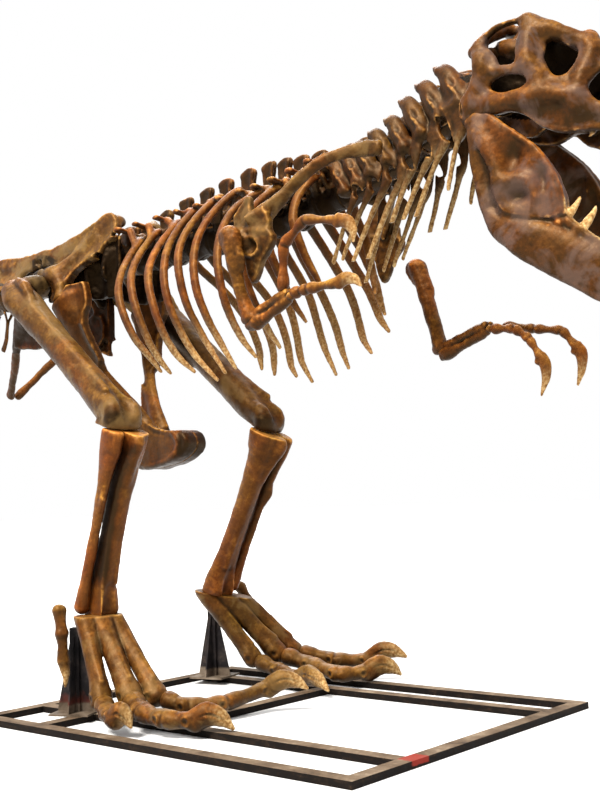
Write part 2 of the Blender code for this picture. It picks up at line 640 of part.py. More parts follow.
def foot(s, ap, an):
    n = side_name(s)
    F = FOOT[s]
    obs = []
    fwd = Vector((0, 0, 0))
    for t, b in zip(F["top"], F["bot"]):
        t, b = V(t), V(b)
        fwd += (b - t)
    fwd.normalize()
    flat = Vector((fwd.x, fwd.y, 0)).normalized()
    for i, (t, b) in enumerate(zip(F["top"], F["bot"])):
        t, b = V(t), V(b)
        r = (0.056, 0.064, 0.056)[i]
        obs.append(loft([t - (b - t) * 0.06, lerp(t, b, 0.10), lerp(t, b, 0.45), lerp(t, b, 0.85), b],
                        [(r * 1.25, r * 1.25), (r * 1.12, r * 1.1), (r * 0.86, r * 0.86), (r * 0.95, r * 1.0),
                         (r * 1.12, r * 1.25)], sides=7))
    ob = slim(union(obs), 170)
    clip(ob, ap + an * 0.003, -an)
    finish(ob, "metatarsus_" + n, material("metatarsus_" + n, (0.25, 0.135, 0.05), 0.42, 0.0))
    for i, (b, js) in enumerate(zip(F["bot"], F["toes"])):
        b = V(b)
        js = [V(j) for j in js]
        d = (js[0] - b).normalized()
        st = b + d * 0.104
        r = TOE_R * (0.96, 1.06, 0.96)[i]
        pts, sz = [st], [(r * 1.15, r * 1.05)]
        prev = st
        uniq = [js[0], js[1]] + ([js[2]] if (js[2] - js[1]).length > 0.01 else [])
        for j in uniq:
            pts += [lerp(prev, j, 0.5), j]
            sz += [(r * 0.80, r * 0.78), (r * 1.02, r * 0.98)]
            prev = j
            r *= 0.95
        toe = loft(pts, sz, sides=7)
        cl = claw(uniq[-1] - (js[3] - uniq[-1]).normalized() * 0.025, js[3], r * 0.80)
        ob = slim(union([toe, cl]), 110)
        clip(ob, (0, 0, RAIL_H + 2 * GAP), (0, 0, -1))
        k = "toe_%s_%d" % (n, i + 2)
        finish(ob, k, material(k, (0.33, 0.20, 0.08), 0.42, 0.0))
    h = [V(p) for p in F["hal"]]
    ob = union([loft([h[0], lerp(h[0], h[1], 0.5), h[1], lerp(h[1], h[2], 0.5), h[2]],
                     [0.046, 0.034, 0.040, 0.033, 0.038], sides=6),
                loft([lerp(h[2], h[3], 0.10), lerp(h[2], h[3], 0.5) + Vector((0.012, 0, 0)), h[3]],
                     [0.036, 0.028, 0.006], sides=6, round_ends=False)])
    slim(ob, 76)
    finish(ob, "hallux_" + n, material("hallux_" + n, (0.30, 0.18, 0.07), 0.42, 0.0))


for s in (-1, 1):
    foot(s, *leg(s))


# --------------------------------------------------------------------- rib cage
# per rib: root x, bulge (x, y, z), tip (x, y, z)
RIBS = [(0.10, (0.36, 0.47, 2.76), (0.68, 0.45, 2.20)),
        (0.29, (0.53, 0.53, 2.77), (0.77, 0.45, 2.17)),
        (0.48, (0.74, 0.58, 2.78), (1.00, 0.45, 2.16)),
        (0.67, (0.90, 0.61, 2.79), (1.17, 0.45, 2.10)),
        (0.86, (1.01, 0.62, 2.80), (1.27, 0.45, 2.13)),
        (1.05, (1.16, 0.62, 2.80), (1.37, 0.45, 2.14)),
        (1.23, (1.36, 0.59, 2.76), (1.50, 0.45, 2.19)),
        (1.41, (1.53, 0.54, 2.76), (1.69, 0.42, 2.22)),
        (1.58, (1.68, 0.46, 2.80), (1.86, 0.35, 2.38)),
        (1.73, (1.79, 0.34, 2.88), (1.885, 0.24, 2.58))]
CHEST_END = 1.93


def rib(s, root, bulge, tip):
    z = line_z(root)
    pts = spline([(root, s * 0.05, z + 0.04), (root + 0.04, s * 0.26, z + 0.11),
                  (bulge[0] - 0.03, s * bulge[1], bulge[2] + 0.06),
                  ((bulge[0] * 0.55 + tip[0] * 0.45), s * (bulge[1] * 0.62 + tip[1] * 0.38), bulge[2] * 0.45 + tip[2] * 0.55),
                  (tip[0], s * tip[1], tip[2])], 2)
    return loft(pts, [(0.030, 0.032), (0.024, 0.040), (0.021, 0.038), (0.019, 0.032), (0.009, 0.013)],
                up=(1, 0, 0), sides=4, round_ends=False)


def ribcage(s):
    n = side_name(s)
    xs = [0.005 + i * SPINE_PITCH for i in range(11)]
    obs = [column(xs, body_radius, sides=6)]
    for i in range(10):
        x = 0.10 + i * SPINE_PITCH * 0.975
        obs.append(spine(x, crest_z(x) - line_z(x), 0.125, 0.030, 1.0, 0.0))
        obs.append(wing(x, s, 0.26, 0.10, 0.036))
    ob = slim(union(obs + [rib(s, *r) for r in RIBS]), 1060)
    clip(ob, (CHEST_END - 0.025, 0, 0), (1, 0, 0))
    clip(ob, (0, 0, 0), (0, -s, 0))
    clip(ob, (0.0, 0, 0), (-1, 0, 0))
    k = "ribcage_" + n
    finish(ob, k, material(k, (0.25, 0.115, 0.045), 0.4, 0.0))


ribcage(-1)
mirrored("ribcage_right", "ribcage_left", (0.25, 0.115, 0.045), 0.4)

# ------------------------------------------------------------------------- neck
NECK_SPLIT = [1.905, 2.20, 2.48, 2.86]


def neck():
    cuts = []
    for x in NECK_SPLIT:
        a = line_slope(x)
        cuts.append(((x, 0, line_z(x)), (math.cos(a), 0, math.sin(a))))
    for k in range(3):
        a, b = NECK_SPLIT[k], NECK_SPLIT[k + 1]
        m = (b - a) / 3
        if k == 2:
            b = 2.80
        xs = [a - 0.02 if k else a, a + m, a + 2 * m, b + (0.02 if k < 2 else 0.0)]
        obs = [column(xs, lambda x: 0.100, sides=6)]
        for i in range(3):
            x = (xs[i] + xs[i + 1]) / 2
            h = crest_z(x) - line_z(x)
            obs.append(spine(x, h, 0.10, 0.032, 1.0, 0.0))
            for s in (-1, 1):
                z = line_z(x)
                # broad side plate of each neck vertebra
                obs.append(loft([(x, s * 0.03, z + 0.02), (x, s * 0.15, z + 0.02)], [(0.052, 0.14), (0.044, 0.10)],
                                sides=4, round_ends=False, phase=0.5))
        ob = union(obs)
        clip(ob, *cuts[k + 1])
        if k == 0:
            clip(ob, (CHEST_END - 0.025, 0, 0), (-1, 0, 0))
        else:
            clip(ob, cuts[k][0], tuple(-c for c in cuts[k][1]))
        # long thin neck ribs, down and back
        ribs = []
        for i in range(3):
            x = (xs[i] + xs[i + 1]) / 2
            z = line_z(x)
            for s in (-1, 1):
                if k == 0 and i == 0:
                    continue
                ln = (0.40, 0.42, 0.36)[k]
                dx, dz = ((-0.10, -0.9), (-0.14, -0.9), (-0.16, -0.9))[k]
                p = V((x - 0.02, s * 0.135, z - 0.07))
                d = Vector((dx, s * 0.10, dz)).normalized()
                ribs.append(loft([p + Vector((0.01, -s * 0.02, 0.02)), p + d * 0.10, p + d * ln],
                                 [(0.026, 0.030), (0.016, 0.020), (0.010, 0.013)], up=(1, 0, 0), sides=4,
                                 round_ends=False))
        ob = slim(union([ob] + ribs), 480)
        finish(ob, "neck_%d" % (k + 1), material("neck_%d" % (k + 1), BONE, 0.42, 0.0))


neck()


# -------------------------------------------------------------- shoulders, arms
ARM_SHIFT = {-1: (0.0, 0.0), 1: (-0.02, 0.14)}


def shoulder(s):
    n = side_name(s)
    dx, dz = ARM_SHIFT[s]

    def q(x, y, z):
        return (x + dx, s * y, z + dz)
    blade = loft(spline([q(2.40, 0.30, 3.345), q(2.13, 0.40, 3.32), q(1.98, 0.49, 3.20), q(1.86, 0.57, 3.03),
                         q(1.74, 0.64, 2.93)], 2),
                 [(0.020, 0.070), (0.022, 0.050), (0.024, 0.050), (0.028, 0.075), (0.030, 0.15)],
                 up=(0.35, 0, 0.9), sides=8)
    cor = ball(q(1.76, 0.635, 2.80), (0.13, 0.035, 0.15), 10, 6)
    ob = slim(union([blade, cor]), 150)
    finish(ob, "scapula_" + n, material("scapula_" + n, (0.27, 0.165, 0.07), 0.42, 0.0))
    if s < 0:
        hu = [(1.635, 0.738, 2.885), (1.64, 0.738, 2.78), (1.66, 0.73, 2.60), (1.675, 0.705, 2.42), (1.675, 0.70, 2.375)]
        el, wr = (1.70, 0.685, 2.355), (1.985, 0.685, 2.475)
        fa = [(1.965, 0.685, 2.54), (1.975, 0.685, 2.78), (2.12, 0.685, 2.885), (2.37, 0.685, 2.865), (2.475, 0.685, 2.705)]
        fb = [(2.05, 0.685, 2.495), (2.15, 0.685, 2.50), (2.34, 0.685, 2.50), (2.50, 0.685, 2.465)]
    else:
        hu = [(1.87, 0.738, 2.86), (1.90, 0.735, 2.76), (1.98, 0.71, 2.54), (2.06, 0.68, 2.33), (2.065, 0.68, 2.26)]
        el, wr = (2.10, 0.68, 2.245), (2.41, 0.68, 2.35)
        fa = [(2.50, 0.655, 2.34), (2.63, 0.655, 2.325), (2.73, 0.655, 2.25), (2.80, 0.655, 2.13), (2.79, 0.655, 1.91)]
        fb = [(2.53, 0.745, 2.36), (2.72, 0.745, 2.32), (2.90, 0.745, 2.29), (2.99, 0.745, 2.18), (2.99, 0.745, 1.96)]
    P = lambda p: (p[0], s * p[1], p[2])
    ob = union([loft([P(p) for p in hu], [(0.060, 0.050), (0.055, 0.050), (0.036, 0.036), (0.042, 0.042), (0.052, 0.045)],
                     up=(0, 1, 0), sides=7)])
    eld = (V(P(wr)) - V(P(el))).normalized()
    # a small step keeps the forearm clear of the elbow
    finish(ob, "humerus_" + n, material("humerus_" + n, BONE, 0.42, 0.0))
    e = V(P(el)) + eld * 0.085
    w = V(P(wr))
    up_ = eld.cross(Vector((0, 1, 0))).normalized()
    if up_.z < 0:
        up_.negate()
    ul = loft([e - up_ * 0.016 - eld * 0.02, lerp(e, w, 0.5) - up_ * 0.022, w - up_ * 0.014], [0.036, 0.022, 0.028], sides=6)
    ra = loft([e + up_ * 0.016, lerp(e, w, 0.5) + up_ * 0.020, w + up_ * 0.014], [0.026, 0.019, 0.028], sides=6)
    ca = loft([w - eld * 0.022, w + eld * 0.022], [(0.037, 0.045), (0.037, 0.045)], sides=7)
    ob = slim(union([ul, ra, ca]), 110)
    finish(ob, "forearm_" + n, material("forearm_" + n, BONE, 0.42, 0.0))
    for nm, f in (("inner", fa), ("outer", fb)):
        f = [V(P(p)) for p in f]
        pts, sz = [], []
        for i in range(len(f) - 2):
            pts += [f[i], lerp(f[i], f[i + 1], 0.5)]
            sz += [0.031, 0.023]
        pts.append(f[-2])
        sz.append(0.029)
        fg = loft(pts, sz, sides=6)
        a, b = f[-2], f[-1]
        bend = Vector((0.03, 0, 0.02))
        cl = loft([lerp(a, b, -0.05), lerp(a, b, 0.35) + bend, lerp(a, b, 0.7) + bend * 0.9, b],
                  [(0.025, 0.032), (0.021, 0.028), (0.014, 0.019), (0.004, 0.005)], sides=6, round_ends=False)
        ob = slim(union([fg, cl]), 90)
        # keep clear of the wrist
        clip(ob, w + eld * 0.062, -eld) if (nm == "outer" or s > 0) else clip(ob, w + up_ * 0.060, -up_)
        k = "finger_%s_%s" % (nm, n)
        finish(ob, k, material(k, (0.32, 0.19, 0.075), 0.4, 0.0))


shoulder(-1)
shoulder(1)

# ------------------------------------------------------------------------ skull
SK0 = Vector((2.94, 0, 3.40))      # back of the skull, level of the tooth margin
PITCH = math.radians(-17.0)
SX = Vector((math.cos(PITCH), 0, math.sin(PITCH)))
SZ = Vector((-math.sin(PITCH), 0, math.cos(PITCH)))


def sk(a, y, h):
    """Skull point: a forward, y sideways, h up, from the back lower corner."""
    return SK0 + SX * a + SZ * h + Vector((0, y, 0))


def skull():
    # a: forward, w: half width low, wt: half width high, lo, hi: heights
    st = [(0.04, 0.29, 0.20, -0.02, 0.43), (0.14, 0.31, 0.20, -0.05, 0.545), (0.34, 0.31, 0.19, -0.06, 0.57),
          (0.54, 0.27, 0.15, -0.07, 0.505), (0.72, 0.205, 0.10, -0.03, 0.40), (0.95, 0.165, 0.075, -0.02, 0.36),
          (1.18, 0.145, 0.065, -0.03, 0.33), (1.30, 0.115, 0.055, -0.02, 0.27), (SKULL_LEN, 0.07, 0.03, 0.0, 0.18)]
    bm = bmesh.new()
    loops = []
    for a, w, wt, lo, hi in st:
        ring = []
        for y, f in ((-w * 0.82, 0.0), (-w, 0.16), (-w * 0.96, 0.42), (-(w + wt) / 2, 0.74), (-wt, 0.93), (-wt * 0.4, 1.0),
                     (wt * 0.4, 1.0), (wt, 0.93), ((w + wt) / 2, 0.74), (w * 0.96, 0.42), (w, 0.16), (w * 0.82, 0.0)):
            ring.append(bm.verts.new(sk(a, y, lo + (hi - lo) * f)))
        loops.append(ring)
    m = len(loops[0])
    for p, q in zip(loops, loops[1:]):
        for k in range(m):
            bm.faces.new((p[k], p[(k + 1) % m], q[(k + 1) % m], q[k]))
    bm.faces.new(list(reversed(loops[0])))
    bm.faces.new(loops[-1])
    bmesh.ops.recalc_face_normals(bm, faces=bm.faces[:])
    hull = add(bm)
    # the hollow under the palate and behind the cheeks
    hollow = loft([sk(-0.10, 0, 0.06), sk(0.30, 0, 0.10), sk(0.60, 0, 0.06), sk(0.95, 0, 0.03), sk(1.22, 0, 0.0)],
                  [(0.24, 0.20), (0.26, 0.26), (0.20, 0.18), (0.11, 0.09), (0.06, 0.04)], up=tuple(SZ), sides=8,
                  round_ends=False)
    cut = [hollow]

    def window(a, h, ra, rh, turn=0.0, yy=0.0, depth=0.6):
        X = (SX * math.cos(turn) + SZ * math.sin(turn))
        Z = (SZ * math.cos(turn) - SX * math.sin(turn))
        out = [(ra * math.cos(2 * PI * k / 8 + 0.3), rh * math.sin(2 * PI * k / 8 + 0.3)) for k in range(8)]
        return plate(out, depth * 2, tuple(sk(a, yy, h)), tuple(X), tuple(Z))
    cut.append(window(0.23, 0.13, 0.115, 0.070, 0.15))       # window behind the cheek
    cut.append(window(0.50, 0.31, 0.085, 0.125, 0.05))       # eye socket
    cut.append(window(0.80, 0.17, 0.130, 0.095, -0.15))      # window before the eye
    cut.append(window(1.26, 0.19, 0.055, 0.035, -0.2))       # nostril
    ob = minus(hull, cut)
    for s in (-1, 1):                                        # upper windows
        ob = minus(ob, [loft([sk(0.17, s * 0.105, 0.60), sk(0.17, s * 0.115, 0.22)], [(0.055, 0.085), (0.055, 0.085)],
                             up=tuple(SX), sides=7, round_ends=False)])
    brain = loft([sk(0.02, 0, 0.24), sk(0.20, 0, 0.28), sk(0.45, 0, 0.36), sk(0.62, 0, 0.38)],
                 [(0.085, 0.10), (0.075, 0.12), (0.085, 0.12), (0.06, 0.08)], up=tuple(SZ), sides=8)
    crest = loft([sk(0.075, -0.25, 0.37), sk(0.035, -0.13, 0.43), sk(0.025, 0, 0.45), sk(0.035, 0.13, 0.43),
                  sk(0.075, 0.25, 0.37)], [(0.03, 0.06), (0.03, 0.08), (0.035, 0.085), (0.03, 0.08), (0.03, 0.06)],
                 up=tuple(SZ), sides=6)
    pal = loft([sk(0.42, 0, 0.02), sk(0.75, 0, 0.03), sk(1.15, 0, 0.04)], [(0.12, 0.018), (0.10, 0.018), (0.06, 0.018)],
               up=tuple(SZ), sides=6, round_ends=False)
    pt = [loft([sk(0.10, s * 0.20, 0.02), sk(0.30, s * 0.12, 0.02), sk(0.55, s * 0.06, 0.03)],
               [(0.035, 0.05), (0.03, 0.045), (0.03, 0.03)], up=tuple(SZ), sides=6) for s in (-1, 1)]
    obs = [ob, brain, crest, pal] + pt
    for s in (-1, 1):
        for i in range(9):
            t = i / 8
            a = 0.62 + 0.68 * t
            w = 0.195 - 0.10 * t if a < 1.15 else 0.135 - 0.45 * (a - 1.15)
            ln = (0.075, 0.10, 0.13, 0.155, 0.16, 0.15, 0.13, 0.10, 0.09)[i]
            b = sk(a, s * (w - 0.018), 0.0)
            obs.append(loft([b + SZ * 0.03, b - SZ * ln * 0.55, b - SZ * ln - SX * 0.025],
                            [(0.020, 0.024), (0.016, 0.020), (0.003, 0.004)], up=tuple(SX), sides=5, round_ends=False))
    ob = slim(union(obs), 800)
    clip(ob, sk(0.0, 0, 0.0), tuple(-SX))
    finish(ob, "skull", material("skull", (0.20, 0.105, 0.035), 0.38, 0.0))


skull()


# --------------------------------------------------------------- lower jaw
def jaw(s):
    n = side_name(s)
    back = plate([(-0.015, 3.300), (0.10, 3.285), (0.22, 3.260), (0.33, 3.19), (0.42, 3.07), (0.475, 2.94), (0.495, 2.80),
                  (0.56, 2.66), (0.60, 2.42), (0.44, 2.40), (0.27, 2.535), (0.14, 2.64), (0.065, 2.80), (0.015, 2.97),
                  (-0.035, 3.18)], 0.055, (3.0, s * 0.290, 0), (1, -s * 0.14, 0), (0, 0, 1))
    bulge = loft([(3.03, s * 0.285, 3.24), (3.13, s * 0.285, 3.05), (3.25, s * 0.275, 2.85), (3.40, s * 0.25, 2.66)],
                 [(0.04, 0.05), (0.045, 0.09), (0.045, 0.12), (0.04, 0.10)], up=(1, 0, 0.6), sides=7)
    front = loft([(3.42, s * 0.235, 2.56), (3.60, s * 0.205, 2.455), (3.76, s * 0.150, 2.345), (3.88, s * 0.080, 2.262),
                  (3.925, s * 0.020, 2.235)],
                 [(0.034, 0.13), (0.038, 0.135), (0.040, 0.118), (0.044, 0.105), (0.045, 0.095)],
                 up=(0.55, 0, 0.83), sides=8)
    obs = [back, bulge, front]
    for i in range(7):
        t = i / 6
        x = 3.55 + 0.32 * t
        z = 2.66 - 0.66 * (x - 3.52)
        y = 0.213 - 0.060 * t - 0.067 * t * t
        ln = (0.10, 0.13, 0.14, 0.14, 0.12, 0.10, 0.08)[i]
        b = Vector((x, s * y, z))
        d = Vector((0.62, 0, 0.78))
        obs.append(loft([b - d * 0.11, b + d * ln * 0.6, b + d * ln + Vector((-0.015, 0, 0.01))],
                        [(0.018, 0.024), (0.015, 0.019), (0.003, 0.004)], up=(0.78, 0, -0.62), sides=5,
                        round_ends=False))
    ob = slim(union(obs), 230)
    clip(ob, (0, 0, 0), (0, -s, 0))
    clip(ob, sk(0.0, 0, -0.075), tuple(SZ))
    k = "jaw_" + n
    finish(ob, k, material(k, (0.20, 0.10, 0.035), 0.36, 0.0))


jaw(-1)
jaw(1)

# the frame of reference: middle of the footprint, on the floor
lo = [1e9] * 3
hi = [-1e9] * 3
for ob in parts.objects:
    for v in ob.data.vertices:
        for i in range(3):
            lo[i] = min(lo[i], v.co[i])
            hi[i] = max(hi[i], v.co[i])
shift = Vector((-(lo[0] + hi[0]) / 2, -(lo[1] + hi[1]) / 2, -lo[2]))
for ob in parts.objects:
    for v in ob.data.vertices:
        v.co += shift
    ob.data.update()
for ob in list(cutters.objects):
    bpy.data.objects.remove(ob, do_unlink=True)
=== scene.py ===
import math
import bpy
import bmesh
import numpy as np
import openvdb
from mathutils import Vector, Matrix
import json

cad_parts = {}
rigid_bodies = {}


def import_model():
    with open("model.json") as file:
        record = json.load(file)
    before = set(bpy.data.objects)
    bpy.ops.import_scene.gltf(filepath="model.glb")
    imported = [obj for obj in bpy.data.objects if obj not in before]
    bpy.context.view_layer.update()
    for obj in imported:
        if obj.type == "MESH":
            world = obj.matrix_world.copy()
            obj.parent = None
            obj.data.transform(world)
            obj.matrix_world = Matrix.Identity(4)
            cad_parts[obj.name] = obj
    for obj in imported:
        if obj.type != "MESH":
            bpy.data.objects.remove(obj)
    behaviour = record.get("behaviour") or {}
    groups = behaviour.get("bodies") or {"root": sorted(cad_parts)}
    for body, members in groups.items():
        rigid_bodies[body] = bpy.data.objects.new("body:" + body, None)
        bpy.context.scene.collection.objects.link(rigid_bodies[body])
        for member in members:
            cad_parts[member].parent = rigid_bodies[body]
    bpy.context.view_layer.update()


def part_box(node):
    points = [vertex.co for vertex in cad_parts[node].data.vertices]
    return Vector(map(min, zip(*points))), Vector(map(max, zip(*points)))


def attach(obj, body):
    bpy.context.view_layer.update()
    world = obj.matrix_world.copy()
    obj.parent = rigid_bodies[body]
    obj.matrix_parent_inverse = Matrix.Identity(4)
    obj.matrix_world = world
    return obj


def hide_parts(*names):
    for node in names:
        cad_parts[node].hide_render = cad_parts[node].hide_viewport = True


BIG = 0.25
F32 = np.float32


def vec(p):
    return np.array([float(p[0]), float(p[1]), float(p[2])])


def unit(v):
    v = np.asarray(v, float)
    return v / max(1e-9, np.linalg.norm(v))


def curve(pts, n):
    """Catmull-Rom points through pts (any width of row), n spans between each pair."""
    q = [np.asarray(p, float) for p in pts]
    q = [2 * q[0] - q[1]] + q + [2 * q[-1] - q[-2]]
    out = []
    for i in range(1, len(q) - 2):
        a, b, c, d = q[i - 1:i + 3]
        for k in range(n):
            t = k / n
            out.append(0.5 * (2 * b + (c - a) * t + (2 * a - 5 * b + 4 * c - d) * t * t + (3 * b - a - 3 * c + d) * t ** 3))
    out.append(q[-2])
    return out


class Field:
    """A signed distance field on a grid, in metres; negative inside."""

    def __init__(self, lo, hi, h):
        self.h = h
        self.lo = np.array(lo, float) - 4 * h
        n = np.ceil((np.array(hi, float) + 4 * h - self.lo) / h).astype(int) + 1
        self.d = np.full(n, BIG, F32)
        self.ax = [(self.lo[i] + h * np.arange(n[i])).astype(F32) for i in range(3)]

    def part(self, lo, hi):
        s = []
        for i in range(3):
            a = max(0, int(math.floor((lo[i] - self.lo[i]) / self.h)))
            b = min(self.d.shape[i], int(math.ceil((hi[i] - self.lo[i]) / self.h)) + 1)
            if b <= a:
                return None, None
            s.append(slice(a, b))
        x = self.ax[0][s[0]][:, None, None]
        y = self.ax[1][s[1]][None, :, None]
        z = self.ax[2][s[2]][None, None, :]
        return tuple(s), (x, y, z)

    def blend(self, s, d, k, cut=False):
        a = self.d[s]
        if cut:
            d = -d
            if k > 0:
                h = np.maximum(k - np.abs(a - d), 0) / k
                self.d[s] = np.maximum(a, d) + h * h * (k * 0.25)
            else:
                self.d[s] = np.maximum(a, d)
        else:
            if k > 0:
                h = np.maximum(k - np.abs(a - d), 0) / k
                self.d[s] = np.minimum(a, d) - h * h * (k * 0.25)
            else:
                self.d[s] = np.minimum(a, d)

    def cone(self, a, b, ra, rb, up=None, k=0.012, cut=False):
        """Tapered rod with round or oval section; radii are numbers or (side, up)."""
        s, d = self.taper(a, b, ra, rb, up, k)
        if s is not None:
            self.blend(s, d, k, cut)

    def taper(self, a, b, ra, rb, up, k):
        a, b = vec(a), vec(b)
        ra = ra if isinstance(ra, (tuple, list)) else (ra, ra)
        rb = rb if isinstance(rb, (tuple, list)) else (rb, rb)
        m = max(max(ra), max(rb))
        pad = m + k + 0.035
        s, g = self.part(np.minimum(a, b) - pad, np.maximum(a, b) + pad)
        if s is None:
            return None, None
        ab = b - a
        L2 = float(ab @ ab) + 1e-12
        D = unit(ab)
        x, y, z = g[0] - F32(a[0]), g[1] - F32(a[1]), g[2] - F32(a[2])
        t = np.clip((x * F32(ab[0]) + y * F32(ab[1]) + z * F32(ab[2])) / F32(L2), 0, 1)
        qx = x - t * F32(ab[0])
        qy = y - t * F32(ab[1])
        qz = z - t * F32(ab[2])
        q2 = qx * qx + qy * qy + qz * qz
        if abs(ra[0] - ra[1]) < 1e-6 and abs(rb[0] - rb[1]) < 1e-6:
            d = np.sqrt(q2) - (F32(ra[0]) + t * F32(rb[0] - ra[0]))
        else:
            U = np.asarray(up if up is not None else (0, 0, 1), float)
            S = np.cross(D, U)
            if np.linalg.norm(S) < 1e-3:
                S = np.cross(D, (1, 0, 0))
            S = unit(S)
            U = unit(np.cross(S, D))
            rs = F32(ra[0]) + t * F32(rb[0] - ra[0])
            ru = F32(ra[1]) + t * F32(rb[1] - ra[1])
            us = (qx * F32(S[0]) + qy * F32(S[1]) + qz * F32(S[2]))
            uu = (qx * F32(U[0]) + qy * F32(U[1]) + qz * F32(U[2]))
            ua2 = np.maximum(q2 - us * us - uu * uu, 0)
            rm = np.minimum(rs, ru)
            e = np.sqrt((us / rs) ** 2 + (uu / ru) ** 2 + ua2 / (rm * rm)) + F32(1e-4)
            q = np.sqrt(q2) + F32(1e-6)
            d = q * (1 - 1 / e)
            d = np.where(e < 0.2, (e - 1) * rm, d)
        return s, d.astype(F32)

    def rod(self, pts, rad, up=None, k=0.012, n=3, cut=False):
        """A smooth bone through pts; rad is a list stretched over the points."""
        rows = []
        m = len(pts)
        for i, p in enumerate(pts):
            t = i / (m - 1) * (len(rad) - 1)
            j = min(int(t), len(rad) - 2) if len(rad) > 1 else 0
            f = t - j
            r0 = rad[j]
            r1 = rad[min(j + 1, len(rad) - 1)]
            r0 = r0 if isinstance(r0, (tuple, list)) else (r0, r0)
            r1 = r1 if isinstance(r1, (tuple, list)) else (r1, r1)
            rows.append((*p, r0[0] + (r1[0] - r0[0]) * f, r0[1] + (r1[1] - r0[1]) * f))
        c = curve(rows, n) if n > 1 else [np.asarray(r, float) for r in rows]
        got = []
        for a, b in zip(c, c[1:]):
            ra = (max(a[3], 0.002), max(a[4], 0.002))
            rb = (max(b[3], 0.002), max(b[4], 0.002))
            s, d = self.taper(a[:3], b[:3], ra, rb, up, k)
            if s is not None:
                got.append((s, d))
        if not got:
            return
        lo = [min(s[i].start for s, _ in got) for i in range(3)]
        hi = [max(s[i].stop for s, _ in got) for i in range(3)]
        tmp = np.full([h - l for l, h in zip(lo, hi)], BIG, F32)
        for s, d in got:
            q = tuple(slice(s[i].start - lo[i], s[i].stop - lo[i]) for i in range(3))
            tmp[q] = np.minimum(tmp[q], d)
        self.blend(tuple(slice(l, h) for l, h in zip(lo, hi)), tmp, k, cut)

    def ball(self, c, r, k=0.012, cut=False, X=(1, 0, 0), Z=(0, 0, 1)):
        """Ball or ellipsoid; r is a number or three half sizes along X, Z x X, Z."""
        c = vec(c)
        r = r if isinstance(r, (tuple, list)) else (r, r, r)
        pad = max(r) + k + 0.035
        s, g = self.part(c - pad, c + pad)
        if s is None:
            return
        Z = unit(Z)
        Y = unit(np.cross(Z, X))
        X = unit(np.cross(Y, Z))
        x, y, z = g[0] - F32(c[0]), g[1] - F32(c[1]), g[2] - F32(c[2])
        e = 0
        for A, q in ((X, r[0]), (Y, r[1]), (Z, r[2])):
            w = (x * F32(A[0]) + y * F32(A[1]) + z * F32(A[2])) / F32(q)
            e = e + w * w
        e = np.sqrt(e) + F32(1e-4)
        q = np.sqrt(x * x + y * y + z * z)
        d = np.where(e < 0.25, (e - 1) * F32(min(r)), q * (1 - 1 / e))
        self.blend(s, d.astype(F32), k, cut)

    def plate(self, outline, thick, origin=(0, 0, 0), ax=(1, 0, 0), ay=(0, 0, 1), k=0.012, cut=False, r=0.01,
              bend=None, rim=None, smooth=0):
        """A slab with the outline in the plane of ax and ay, edges rounded by r.
        thick is its half thickness, or a function of (u, v, edge distance); bend moves it off the plane."""
        o = vec(origin)
        X = unit(ax)
        N = unit(np.cross(X, ay))
        Y = unit(np.cross(N, X))
        P = [np.array(p, float) for p in outline]
        if smooth:
            c = P[-1:] + P + P[:2]
            q = []
            for i in range(1, len(c) - 2):
                a, b, cc, d = c[i - 1:i + 3]
                for j in range(smooth):
                    t = j / smooth
                    q.append(0.5 * (2 * b + (cc - a) * t + (2 * a - 5 * b + 4 * cc - d) * t * t + (3 * b - a - 3 * cc + d) * t ** 3))
            P = q
        P = np.array(P)
        tm = thick if not callable(thick) else 0.10
        off = (0.0, 0.0)
        if bend is not None:
            gu, gv = np.meshgrid(np.linspace(P[:, 0].min(), P[:, 0].max(), 12), np.linspace(P[:, 1].min(), P[:, 1].max(), 12))
            bv = np.asarray(bend(gu.astype(F32), gv.astype(F32)), float) + np.zeros(gu.shape)
            off = (float(bv.min()), float(bv.max()))
        corners = np.array([o + X * u + Y * v + N * w for u in (P[:, 0].min(), P[:, 0].max())
                            for v in (P[:, 1].min(), P[:, 1].max()) for w in (off[0] - tm, off[1] + tm)])
        pad = k + 0.035 + (0.02 if bend is not None else 0.0)
        s, g = self.part(corners.min(0) - pad, corners.max(0) + pad)
        if s is None:
            return
        x, y, z = g[0] - F32(o[0]), g[1] - F32(o[1]), g[2] - F32(o[2])
        u = x * F32(X[0]) + y * F32(X[1]) + z * F32(X[2])
        v = x * F32(Y[0]) + y * F32(Y[1]) + z * F32(Y[2])
        w = x * F32(N[0]) + y * F32(N[1]) + z * F32(N[2])
        sh = np.broadcast(u, v, w).shape
        u = np.broadcast_to(u, sh).astype(F32)
        v = np.broadcast_to(v, sh).astype(F32)
        w = np.broadcast_to(w, sh).astype(F32)
        if bend is not None:
            w = w - bend(u, v)
        near = np.abs(w) < tm + k + 0.035
        uu, vv, ww = u[near], v[near], w[near]
        d2 = np.full(uu.shape, 1e9, F32)
        ins = np.zeros(uu.shape, bool)
        n = len(P)
        for i in range(n):
            a, b = P[i], P[(i + 1) % n]
            e = b - a
            L2 = float(e @ e)
            if L2 < 1e-12:
                continue
            pu, pv = uu - F32(a[0]), vv - F32(a[1])
            t = np.clip((pu * F32(e[0]) + pv * F32(e[1])) / F32(L2), 0, 1)
            du, dv = pu - t * F32(e[0]), pv - t * F32(e[1])
            np.minimum(d2, du * du + dv * dv, out=d2)
            c1 = vv >= F32(a[1])
            c2 = vv < F32(b[1])
            cr = F32(e[0]) * pv - F32(e[1]) * pu
            ins ^= (c1 & c2 & (cr > 0)) | (~c1 & ~c2 & (cr < 0))
        d2 = np.sqrt(d2)
        d2[ins] *= -1
        th = thick(uu, vv, -d2) if callable(thick) else F32(thick)
        r = F32(r)
        a = d2 + r
        b = np.abs(ww) - th + r
